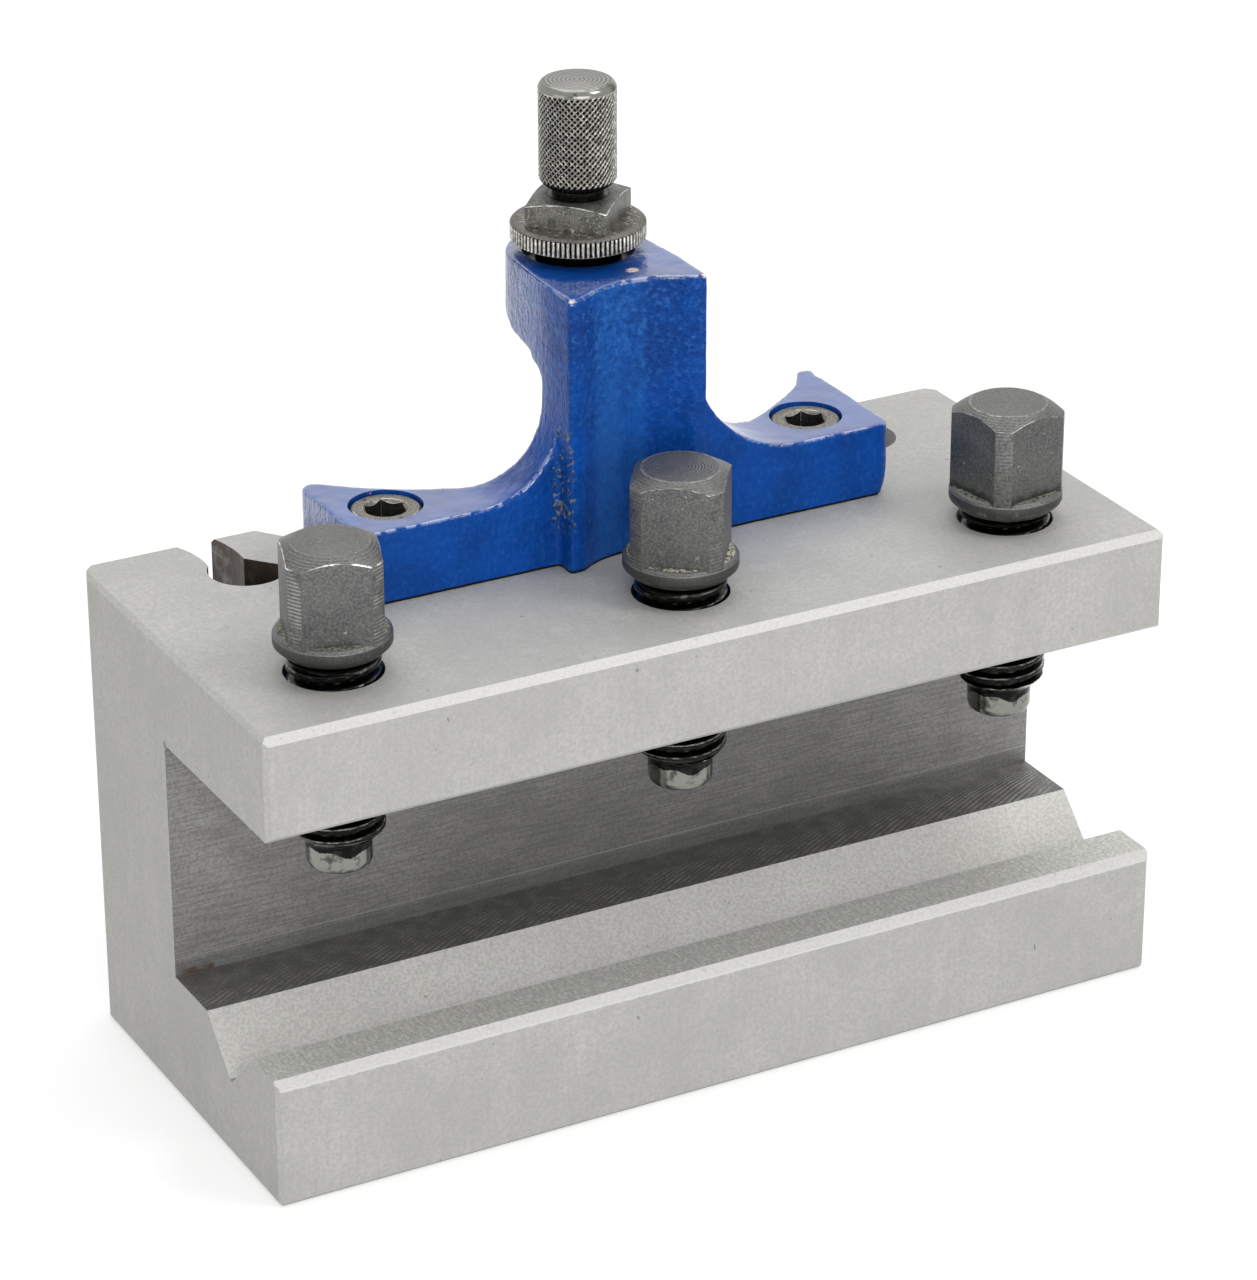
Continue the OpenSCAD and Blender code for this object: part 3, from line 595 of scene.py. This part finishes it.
def turned(name, axis, outline, columns, relief=None):
    """A closed piece turned about an upright axis. A grid is rolled up, with one row for each point of the
    outline, and relief gives the radius at an angle, a height and the outline's radius."""
    rows = len(outline) - 1
    bpy.ops.object.select_all(action="DESELECT")
    bpy.ops.mesh.primitive_grid_add(x_subdivisions=columns, y_subdivisions=rows, size=1)
    piece = added(name)
    for vertex in piece.data.vertices:
        radius, height = outline[round((vertex.co.y + 0.5) * rows)]
        turn = math.tau * round((vertex.co.x + 0.5) * columns) / columns
        if relief and radius:
            radius = relief(turn, height, radius)
        vertex.co = (axis.x + radius * math.cos(turn), axis.y + radius * math.sin(turn), height)
    clean(piece)
    return piece


def clean(piece, flat=0.0):
    """Merges doubles and turns every face outwards. Where flat is an angle, flat faces are joined as well."""
    work_on(piece)
    bpy.ops.object.mode_set(mode="EDIT")
    bpy.ops.mesh.select_all(action="SELECT")
    bpy.ops.mesh.remove_doubles(threshold=MERGE)
    bpy.ops.mesh.normals_make_consistent(inside=False)
    if flat:
        bpy.ops.mesh.dissolve_limited(angle_limit=flat)
    bpy.ops.object.mode_set(mode="OBJECT")


def rows_between(outline, low, high, step):
    """The outline with extra rows, a step apart, on what lies between two heights."""
    finer = [outline[0]]
    for (r0, z0), (r1, z1) in zip(outline, outline[1:]):
        count = 1
        if z1 > z0 and z0 >= low - MERGE and z1 <= high + MERGE:
            count = max(1, round(math.hypot(r1 - r0, z1 - z0) / step))
        finer += [(r0 + (r1 - r0) * i / count, z0 + (z1 - z0) * i / count) for i in range(1, count + 1)]
    return finer


def apply(piece, kind, **settings):
    """Adds a modifier with these settings and applies it."""
    modifier = piece.modifiers.new(kind.lower(), kind)
    for key, value in settings.items():
        setattr(modifier, key, value)
    work_on(piece)
    bpy.ops.object.modifier_apply(modifier=modifier.name)


def combine(piece, tool, operation):
    """Cuts the piece with the tool, joins them or keeps what they share. The tool is used up."""
    apply(piece, "BOOLEAN", object=tool, operation=operation, solver="EXACT")
    bpy.data.objects.remove(tool)


def join(piece, *others):
    """Makes the others part of the piece, each as its own closed shell."""
    work_on(piece)
    for other in others:
        other.select_set(True)
    bpy.ops.object.join()
    return piece


def copied(node, name):
    """A piece of its own from a node's mesh, its loose triangles merged into flat faces."""
    piece = bpy.data.objects.new(name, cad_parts[node].data.copy())
    piece.data.name = name
    piece.data.materials.clear()
    bpy.context.scene.collection.objects.link(piece)
    work_on(piece)
    bpy.ops.mesh.customdata_custom_splitnormals_clear()
    clean(piece, flat=math.radians(0.3))
    return piece


def paint(piece, finishes, choose):
    """Gives each face one of the finishes: choose says which, from the middle and the normal of the face."""
    for finish in finishes:
        piece.data.materials.append(finish)
    for face in piece.data.polygons:
        face.material_index = choose(face.center, face.normal)


def ready(piece, body, slot, *nodes, smooth=30):
    """Smooths the piece, and lets it ride on its body in place of its nodes."""
    work_on(piece)
    bpy.ops.object.shade_smooth_by_angle(angle=math.radians(smooth))
    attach(piece, body)
    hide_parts(*nodes)


steel = ground_steel()
steel_edge = ground_edge()
slot_wall = slot_wall_steel()
slot_floor = milled_floor_steel()
land = milled_land_steel()
groove = groove_steel()
pocket = pocket_steel()
oiled_bore = oiled_bore_steel()
paint_blue = blue_paint()
bare_iron = machined_iron()
phosphate = phosphated_steel()
rubbed = worn_phosphate()
corner_turned = turned_corner()
grease = dried_grease()
arris = bright_arris()
polished = polished_steel()
oily = oiled_thread()
crest = thread_crest()
knurl_finish = knurled_steel("knurled_knob_steel", height_axis, knob_r, knurl_depth)
rib_finish = knurled_steel("ribbed_flange_steel", height_axis, flange_r, rib_depth)
knob_top_finish = turned_knob_top()
nut_black = blackened_steel()
cap_steel = cap_screw_steel()
black_socket = socket_black()


# The holder body

SATIN, EDGE, WALL, FLOOR, LAND, FLANK, BORE, POCKET = range(8)
body_finishes = [steel, steel_edge, slot_wall, slot_floor, land, groove, oiled_bore, pocket]


def body_finish(middle, normal):
    """Which of the body's finishes a face has."""
    near = 0.05 * MM
    across = min(math.hypot(middle.x - a.x, middle.y - a.y) for a in clamp_axes.values())
    if across < 6.62 * MM and abs(normal.z) < 0.995 and middle.z > slot_top_z - near:
        return BORE
    if abs(middle.y - slot_back_y) < near and normal.y < -0.9:
        return WALL
    if abs(middle.z - slot_floor_z) < near and normal.z > 0.9:
        return FLOOR if middle.y > groove_y else LAND
    if middle.z < slot_floor_z and normal.z > 0.5 and abs(middle.y - groove_y) < groove_half:
        return FLANK
    if normal.y < -0.5 and abs(normal.z) > 0.5 and body_low.z + 2 * MM < middle.z and middle.y < front_y + 2 * MM:
        return EDGE
    behind = middle.y > slot_back_y and abs(middle.x) < 57 * MM and middle.y < rear_y - near
    if behind and abs(normal.z) < 0.1:
        # Painted light: the right pocket's walls take the paler satin finish in place of the pocket finish, so that
        # they look lit.
        return POCKET if middle.x < 30 * MM else SATIN
    return EDGE if behind and 0.1 < normal.z < 0.95 and middle.z > body_top_z - 0.3 * MM else SATIN


def rounded(piece, width, choose):
    """Rounds the edges that choose picks, from their middle and their direction."""
    work_on(piece)
    bpy.ops.object.mode_set(mode="EDIT")
    bpy.ops.mesh.select_all(action="DESELECT")
    bpy.ops.object.mode_set(mode="OBJECT")
    points = [vertex.co.copy() for vertex in piece.data.vertices]
    for edge in piece.data.edges:
        a, b = [points[i] for i in edge.vertices]
        edge.select = (b - a).length > width and choose((a + b) / 2, (b - a).normalized())
    bpy.ops.object.mode_set(mode="EDIT")
    bpy.ops.mesh.select_mode(type="EDGE")
    bpy.ops.mesh.bevel(offset=width, segments=3, affect="EDGES")
    bpy.ops.object.mode_set(mode="OBJECT")


def make_body():
    piece = copied("body", "ground_body")

    def upright_corner(middle, way):
        at_front = middle.y < front_y + 0.1 * MM and abs(middle.x) > body_high.x - 0.1 * MM
        return abs(way.z) > 0.99 and at_front

    rounded(piece, 0.35 * MM, upright_corner)
    apply(piece, "BEVEL", width=0.16 * MM, segments=2, limit_method="ANGLE", angle_limit=math.radians(24))
    paint(piece, body_finishes, body_finish)
    ready(piece, "holder", "ground_steel", "body")
    apply(piece, "WEIGHTED_NORMAL", keep_sharp=True)


make_body()


# The cast bracket

def make_bracket():
    """The casting is grown from the node's shape with its bores filled, roughened, and then machined."""
    grain = 0.38 * MM
    cut_past = 2 * MM
    cap_bore_r = 4.9 * MM
    piece = copied("bracket", "cast_bracket")
    bracket_tip_y = max(v.co.y for v in piece.data.vertices if abs(v.co.x) > 30 * MM)
    for vertex in piece.data.vertices:
        if vertex.co.z < body_top_z + MERGE:
            vertex.co.z -= cut_past
    # Smoothing blunts the sharp rear tips of the wings, so they start longer
    for vertex in piece.data.vertices:
        if abs(vertex.co.x) > 30 * MM and vertex.co.y > bracket_tip_y - 0.6 * MM:
            vertex.co += Vector((math.copysign(0.75 * MM, vertex.co.x), 1.9 * MM, 0))
    plugs = []
    for side, axis in cap_axes.items():
        outline = [(0, body_top_z - cut_past), (cap_bore_r + grain / 2, body_top_z - cut_past),
                   (cap_bore_r + grain / 2, foot_top_z), (0, foot_top_z)]
        plugs.append(turned("plug_" + side, axis, outline, 48))
    outline = [(0, arm_root_z + 2 * grain), (4.4 * MM, arm_root_z + 2 * grain), (4.4 * MM, spot_z - grain),
               (spot_r + grain / 2, spot_z - grain), (spot_r + grain / 2, bracket_high.z), (0, bracket_high.z)]
    plugs.append(turned("plug_arm", height_axis, outline, 48))
    join(piece, *plugs)
    piece.data.remesh_voxel_size = grain
    work_on(piece)
    bpy.ops.object.voxel_remesh()
    apply(piece, "SMOOTH", factor=0.5, iterations=11)
    # The right end of the foot draws in towards its base
    draw_h, draw_l, draw_in = 3.6 * MM, 6 * MM, 0.9 * MM
    for vertex in piece.data.vertices:
        below = max(0.0, min(1.0, (body_top_z + draw_h - vertex.co.z) / draw_h))
        near_end = max(0.0, (vertex.co.x - bracket_high.x + draw_l) / draw_l)
        vertex.co.x -= draw_in * near_end * below ** 2
    clouds = bpy.data.textures.new("casting_swell", "CLOUDS")
    clouds.noise_scale = 4 * MM
    apply(piece, "DISPLACE", texture=clouds, strength=0.2 * MM, mid_level=0.5, texture_coords="LOCAL")

    far = 60 * MM
    base_z = body_top_z + 0.1 * MM
    combine(piece, block("base_cut", (-far, -far, base_z - far), (far, far, base_z)), "DIFFERENCE")
    for side, axis in cap_axes.items():
        seat_z = foot_top_z - 6.4 * MM
        outline = [(0, body_top_z - cut_past), (3.05 * MM, body_top_z - cut_past), (3.05 * MM, seat_z),
                   (cap_bore_r, seat_z), (cap_bore_r, foot_top_z + cut_past), (0, foot_top_z + cut_past)]
        combine(piece, turned("counterbore", axis, outline, 64), "DIFFERENCE")
    outline = [(0, arm_root_z - 2 * cut_past), (4.05 * MM, arm_root_z - 2 * cut_past), (4.05 * MM, spot_z),
               (spot_r, spot_z), (spot_r, bracket_high.z + cut_past), (0, bracket_high.z + cut_past)]
    combine(piece, turned("spot_face", height_axis, outline, 96), "DIFFERENCE")

    def finish(middle, normal):
        inside = math.hypot(middle.x - height_axis.x, middle.y - height_axis.y) < spot_r + 0.05 * MM
        return 1 if inside and spot_z - far / 4 < middle.z < spot_z + MERGE else 0

    paint(piece, [paint_blue, bare_iron], finish)
    ready(piece, "holder", "blue_paint", "bracket", smooth=40)


make_bracket()


# Square-headed screws and the lock nut

def square_head(name, axis, turn, across, corner_d, flat_d, slope, low, high):
    """A square whose corners are turned round and whose top is turned to a cone."""
    corner_z = high - (corner_d - flat_d) / 2 * math.tan(math.radians(slope))
    square = block(name, (axis.x - across / 2, axis.y - across / 2, low),
                   (axis.x + across / 2, axis.y + across / 2, high), math.radians(turn))
    outline = [(0, low), (corner_d / 2, low), (corner_d / 2, corner_z), (flat_d / 2, high), (0, high)]
    combine(square, turned("turned_envelope", axis, outline, 96), "INTERSECT")
    clean(square, flat=math.radians(0.3))
    return square


def wear_edges(head, axis, width, edge, plain, corner_z, high, flat_d):
    """Bevels the edges. Only where a side meets the cone do they keep the edge finish: others become plain."""
    apply(head, "BEVEL", width=width, segments=2, limit_method="ANGLE", angle_limit=math.radians(13), material=edge)
    for face in head.data.polygons:
        away = math.hypot(face.center.x - axis.x, face.center.y - axis.y)
        on_ring = away < flat_d / 2 + 0.2 * MM and face.center.z > high - 0.2 * MM
        if face.material_index == edge and (on_ring or face.center.z < corner_z - 0.2 * MM):
            face.material_index = plain


def ridge(phase, crest=0.125, root=0.25):
    """Height of a 60 degree thread from 0 to 1 at a phase, with a flat crest and a rounder root."""
    away = abs((phase % 1.0) - 0.5) * 2
    flank = 1 - crest - root
    return min(1.0, max(0.0, (1 - crest - away) / flank)) if away > crest else 1.0


def thread_relief(outer_r, pitch, depth, low, high):
    """Relief of a right-hand thread. It is cut no wider than the outline, and runs out at its upper end."""
    def relief(turn, height, radius):
        if not low < height < high:
            return radius
        run_out = min(1.0, (high - height) / (0.35 * pitch))
        return min(radius, outer_r - depth * run_out * (1 - ridge(height / pitch - turn / math.tau)))
    return relief


clamp_finishes = [phosphate, rubbed, arris, oily, corner_turned, grease, polished, crest]
COAT, RUBBED, ARRIS, OILY, CORNER, GREASE, POLISHED, CREST = range(8)


def make_clamp_screw(side, turn):
    axis = clamp_axes[side]
    low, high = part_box("clamp_screw_" + side)
    square_z = high.z - 11.5 * MM
    collar_z = square_z - 2.8 * MM
    thread_high = collar_z - 0.8 * MM
    dog_r = 4.25 * MM
    screw_r = 6 * MM
    cone_low = low.z + 3.7 * MM
    cone_high = cone_low + screw_r - dog_r
    corner_d, flat_d = 14.8 * MM, 10.2 * MM
    corner_z = high.z - (corner_d - flat_d) / 2 * math.tan(math.radians(30))
    head = square_head("head_" + side, axis, turn, 12 * MM, corner_d, flat_d, 30, collar_z + 1 * MM, high.z)

    def head_finish(middle, normal):
        if normal.z > 0.3:
            return RUBBED
        away = math.hypot(middle.x - axis.x, middle.y - axis.y)
        return CORNER if away > corner_d / 2 - 0.12 * MM else COAT

    paint(head, clamp_finishes, head_finish)
    wear_edges(head, axis, 0.11 * MM, ARRIS, COAT, corner_z, high.z, flat_d)
    outline = [
        (0, low.z), (2.9 * MM, low.z), (3.6 * MM, low.z + 0.12 * MM), (4.05 * MM, low.z + 0.45 * MM),
        (dog_r, low.z + 1 * MM), (dog_r, cone_low), (screw_r, cone_high), (screw_r, thread_high - 0.1 * MM),
        (5.2 * MM, thread_high + 0.2 * MM), (5.1 * MM, collar_z - 0.12 * MM), (5.25 * MM, collar_z),
        (6.4 * MM, collar_z), (6.57 * MM, collar_z + 0.05 * MM), (7.44 * MM, collar_z + 0.9 * MM),
        (7.5 * MM, collar_z + 1.05 * MM), (7.5 * MM, square_z - 0.65 * MM), (7.44 * MM, square_z - 0.5 * MM),
        (6.95 * MM, square_z - 0.04 * MM), (6.8 * MM, square_z), (0, square_z),
    ]
    outline = rows_between(outline, low.z + 1 * MM, thread_high, 0.11 * MM)
    relief = thread_relief(screw_r, 1.75 * MM, 1.05 * MM, cone_low, thread_high)
    shank = turned("shank_" + side, axis, outline, 120, relief)

    def shank_finish(middle, normal):
        away = math.hypot(middle.x - axis.x, middle.y - axis.y)
        if middle.z < cone_low:
            turn = math.atan2(middle.y - axis.y, middle.x - axis.x)
            oil_low = cone_low - (0.75 + 0.35 * math.sin(3 * turn) + 0.2 * math.sin(7 * turn + 1)) * MM
            return POLISHED if low.z + 0.45 * MM < middle.z < oil_low else OILY
        if middle.z < thread_high:
            edge_r = dog_r + middle.z - cone_low
            return CREST if 5.1 * MM < edge_r < screw_r and away > edge_r - 0.1 * MM else OILY
        if middle.z < collar_z - 0.05 * MM:
            return OILY
        if middle.z < collar_z + 0.1 * MM and away > 6.3 * MM:
            return ARRIS
        if normal.z > 0.2:
            return GREASE if away < 7.1 * MM else RUBBED
        return COAT

    paint(shank, clamp_finishes, shank_finish)
    piece = join(head, shank)
    piece.name = piece.data.name = side + "_clamp_screw"
    ready(piece, side + "_clamp", "phosphated_steel", "clamp_screw_" + side)


for side, turn in (("left", -18), ("middle", -36), ("right", 9)):
    make_clamp_screw(side, turn)


# Height screw with its knurled head

def make_height_screw():
    low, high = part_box("height_screw")
    knob_z = high.z - 14.1 * MM
    knurl_high = high.z - 0.95 * MM
    thread_high = knob_z - 1.1 * MM
    starts = 40
    threads = thread_relief(4 * MM, 1.25 * MM, 0.7 * MM, low.z + 1 * MM, thread_high)

    def knurl(turn, height, radius):
        if height < knob_z + 0.05 * MM or height > knurl_high:
            return radius
        along = starts * turn / math.tau
        up = starts * height / (math.tau * knob_r)
        rising, falling = [abs(((along + way * up) % 1.0) - 0.5) * 2 for way in (-1, 1)]
        soft = min(1.0, (knurl_high - height) / (0.3 * MM))
        return radius - knurl_depth * soft * (1 - max(rising, 0.8 * falling) ** 1.5)

    outline = [
        (0, low.z), (3 * MM, low.z), (4 * MM, low.z + 1 * MM), (4 * MM, thread_high), (3.4 * MM, thread_high),
        (3.4 * MM, knob_z + 0.5 * MM), (0, knob_z + 0.5 * MM),
    ]
    outline = rows_between(outline, low.z + 1 * MM, thread_high, 0.2 * MM)
    shank = turned("height_screw_shank", height_axis, outline, 96, threads)
    outline = [
        (0, knob_z), (3.9 * MM, knob_z), (4.6 * MM, knob_z + 0.45 * MM), (knob_r, knob_z + 1.1 * MM),
        (knob_r, knurl_high), (5.08 * MM, knurl_high + 0.1 * MM), (4.97 * MM, knurl_high + 0.38 * MM),
        (4.75 * MM, knurl_high + 0.68 * MM), (4.5 * MM, knurl_high + 0.87 * MM), (4.3 * MM, high.z), (0, high.z),
    ]
    outline = rows_between(outline, knob_z, knurl_high, 0.105 * MM)
    piece = turned("height_adjusting_screw", height_axis, outline, 10 * starts, knurl)
    combine(piece, shank, "UNION")

    def finish(middle, normal):
        if middle.z < knob_z:
            return 3
        if middle.z < knurl_high:
            return 0
        return 1 if normal.z > 0.95 else 2

    paint(piece, [knurl_finish, knob_top_finish, polished, oily], finish)
    ready(piece, "height_adjuster", "knurled_steel", "height_screw")


make_height_screw()


# Lock nut: a knurled flange, a square above it and a boss below

def make_lock_nut():
    low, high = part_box("lock_nut")
    flange_z = low.z + 2.85 * MM
    square_z = flange_z + 2.7 * MM
    ribs = 84
    knurl_low = flange_z + 0.3 * MM
    knurl_high = square_z - 0.45 * MM
    bore_r = 4.05 * MM
    corner_d, flat_d = 17.6 * MM, 10.6 * MM
    corner_z = high.z - (15.56 * MM - flat_d) / 2 * math.tan(math.radians(15.5))

    def relief(turn, height, radius):
        if not knurl_low - MERGE < height < knurl_high + MERGE:
            return radius
        return radius - rib_depth * (0.5 + 0.5 * math.cos(ribs * turn)) ** 1.3

    outline = [
        (bore_r, low.z), (5.5 * MM, low.z), (5.65 * MM, low.z + 0.15 * MM), (5.65 * MM, flange_z),
        (8.3 * MM, flange_z), (flange_r - 0.2 * MM, knurl_low - 0.1 * MM), (flange_r, knurl_low),
        (flange_r, knurl_high), (flange_r - 0.12 * MM, knurl_high + 0.12 * MM), (8.3 * MM, square_z - 0.08 * MM),
        (8 * MM, square_z), (7.7 * MM, square_z - 0.04 * MM), (bore_r, square_z - 0.04 * MM), (bore_r, low.z),
    ]
    flange = turned("flange", height_axis, outline, 8 * ribs, relief)

    def flange_finish(middle, normal):
        if knurl_low < middle.z < knurl_high:
            return 2
        return 3 if middle.z < flange_z and abs(normal.z) < 0.5 else 0

    finishes = [nut_black, arris, rib_finish, oily]
    paint(flange, finishes, flange_finish)
    square = square_head("square", height_axis, 45, 11 * MM, corner_d, flat_d, 15.5, flange_z + 0.5 * MM, high.z)
    bore = [(0, low.z - 1 * MM), (bore_r, low.z - 1 * MM), (bore_r, high.z + 1 * MM), (0, high.z + 1 * MM)]
    combine(square, turned("bore", height_axis, bore, 48), "DIFFERENCE")
    clean(square, flat=math.radians(0.3))
    paint(square, finishes, lambda middle, normal: 0)
    wear_edges(square, height_axis, 0.08 * MM, 1, 0, corner_z, high.z, flat_d)
    piece = join(flange, square)
    piece.name = piece.data.name = "knurled_lock_nut"
    ready(piece, "height_lock", "blackened_steel", "lock_nut")


make_lock_nut()


# Cap screws in the foot

def make_cap_screw(side, turn):
    axis = cap_axes[side]
    low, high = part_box("bracket_screw_" + side)
    head_z = high.z - 6 * MM
    hex_r = 2.5 * MM / math.cos(math.radians(30))
    socket_z = high.z - 3 * MM
    outline = [
        (0, low.z), (2.5 * MM, low.z), (3 * MM, low.z + 0.5 * MM), (3 * MM, head_z), (4.7 * MM, head_z),
        (4.7 * MM, high.z - 0.5 * MM), (4.6 * MM, high.z - 0.2 * MM), (4.3 * MM, high.z), (0, high.z),
    ]
    piece = turned("screw", axis, outline, 96)
    bpy.ops.object.select_all(action="DESELECT")
    bpy.ops.mesh.primitive_cylinder_add(vertices=6, radius=hex_r, depth=6 * MM, rotation=(0, 0, math.radians(turn)),
                                        location=(axis.x, axis.y, socket_z + 3 * MM))
    combine(piece, added("hexagon"), "DIFFERENCE")
    lead = [(0, high.z - 0.45 * MM), (2.5 * MM, high.z - 0.45 * MM), (3.1 * MM, high.z + 0.15 * MM),
            (0, high.z + 0.15 * MM)]
    combine(piece, turned("lead_in", axis, lead, 64), "DIFFERENCE")
    clean(piece, flat=math.radians(0.3))

    def finish(middle, normal):
        away = math.hypot(middle.x - axis.x, middle.y - axis.y)
        if away < 2.95 * MM and head_z < middle.z < high.z - 0.3 * MM and (abs(normal.z) < 0.3 or away < 1 * MM):
            return 1
        return 0

    paint(piece, [cap_steel, black_socket, arris], finish)
    apply(piece, "BEVEL", width=0.08 * MM, segments=2, limit_method="ANGLE", angle_limit=math.radians(20), material=2)
    piece.name = piece.data.name = side + "_cap_screw"
    ready(piece, "holder", "cap_screw_steel", "bracket_screw_" + side)


for side, turn in (("left", -14), ("right", -18)):
    make_cap_screw(side, turn)


# Floor, world and lamps

def shown_white(tree, white, lit):
    """White for what the camera, gloss and glass see, and the lit shader for all other rays."""
    path = add(tree, "LightPath").outputs
    seen = both(tree, path["Is Camera Ray"], path["Is Glossy Ray"], "MAXIMUM")
    seen = both(tree, seen, path["Is Transmission Ray"], "MAXIMUM")
    return add(tree, "MixShader", {0: seen, 1: lit, 2: white}).outputs[0]


def add_floor():
    bpy.ops.object.select_all(action="DESELECT")
    bpy.ops.mesh.primitive_plane_add(size=8)
    floor = added("floor")
    material = bpy.data.materials.new("white_card_floor")
    material.use_nodes = True
    tree = material.node_tree
    tree.nodes.clear()
    card = add(tree, "BsdfDiffuse", {"Color": (0.62, 0.62, 0.62, 1)}).outputs[0]
    glow = add(tree, "Emission", {"Color": linear(PALE), "Strength": 0.46}).outputs[0]
    glowing = add(tree, "AddShader", {0: card, 1: glow}).outputs[0]
    add(tree, "OutputMaterial", {0: shown_white(tree, glowing, card)})
    floor.data.materials.append(material)


def add_world():
    world = bpy.data.worlds.new("white_tent")
    world.use_nodes = True
    tree = world.node_tree
    tree.nodes.clear()
    lit = add(tree, "Background", {"Color": linear(PALE), "Strength": 0.62}).outputs[0]
    white = add(tree, "Background", {"Color": linear(PALE), "Strength": 1.0}).outputs[0]
    add(tree, "OutputWorld", {0: shown_white(tree, white, lit)})
    bpy.context.scene.world = world


def add_lamp(name, place, size, watts):
    """A square softbox aimed at the middle of the holder."""
    data = bpy.data.lights.new(name, "AREA")
    data.size = size
    data.energy = watts
    lamp = bpy.data.objects.new(name, data)
    bpy.context.scene.collection.objects.link(lamp)
    lamp.location = place
    aim = Vector((0, 0, 0.06)) - Vector(place)
    lamp.rotation_euler = aim.to_track_quat("-Z", "Y").to_euler()


add_floor()
add_world()
add_lamp("softbox_top", (0.15, 0.35, 1.0), 0.9, 3.6)
add_lamp("softbox_front", (-0.25, -0.94, 0.3), 0.8, 5.1)
add_lamp("softbox_left", (-0.95, -0.15, 0.3), 0.6, 0.8)
add_lamp("glint_front", (0.43, -0.42, 0.86), 0.32, 2.0)
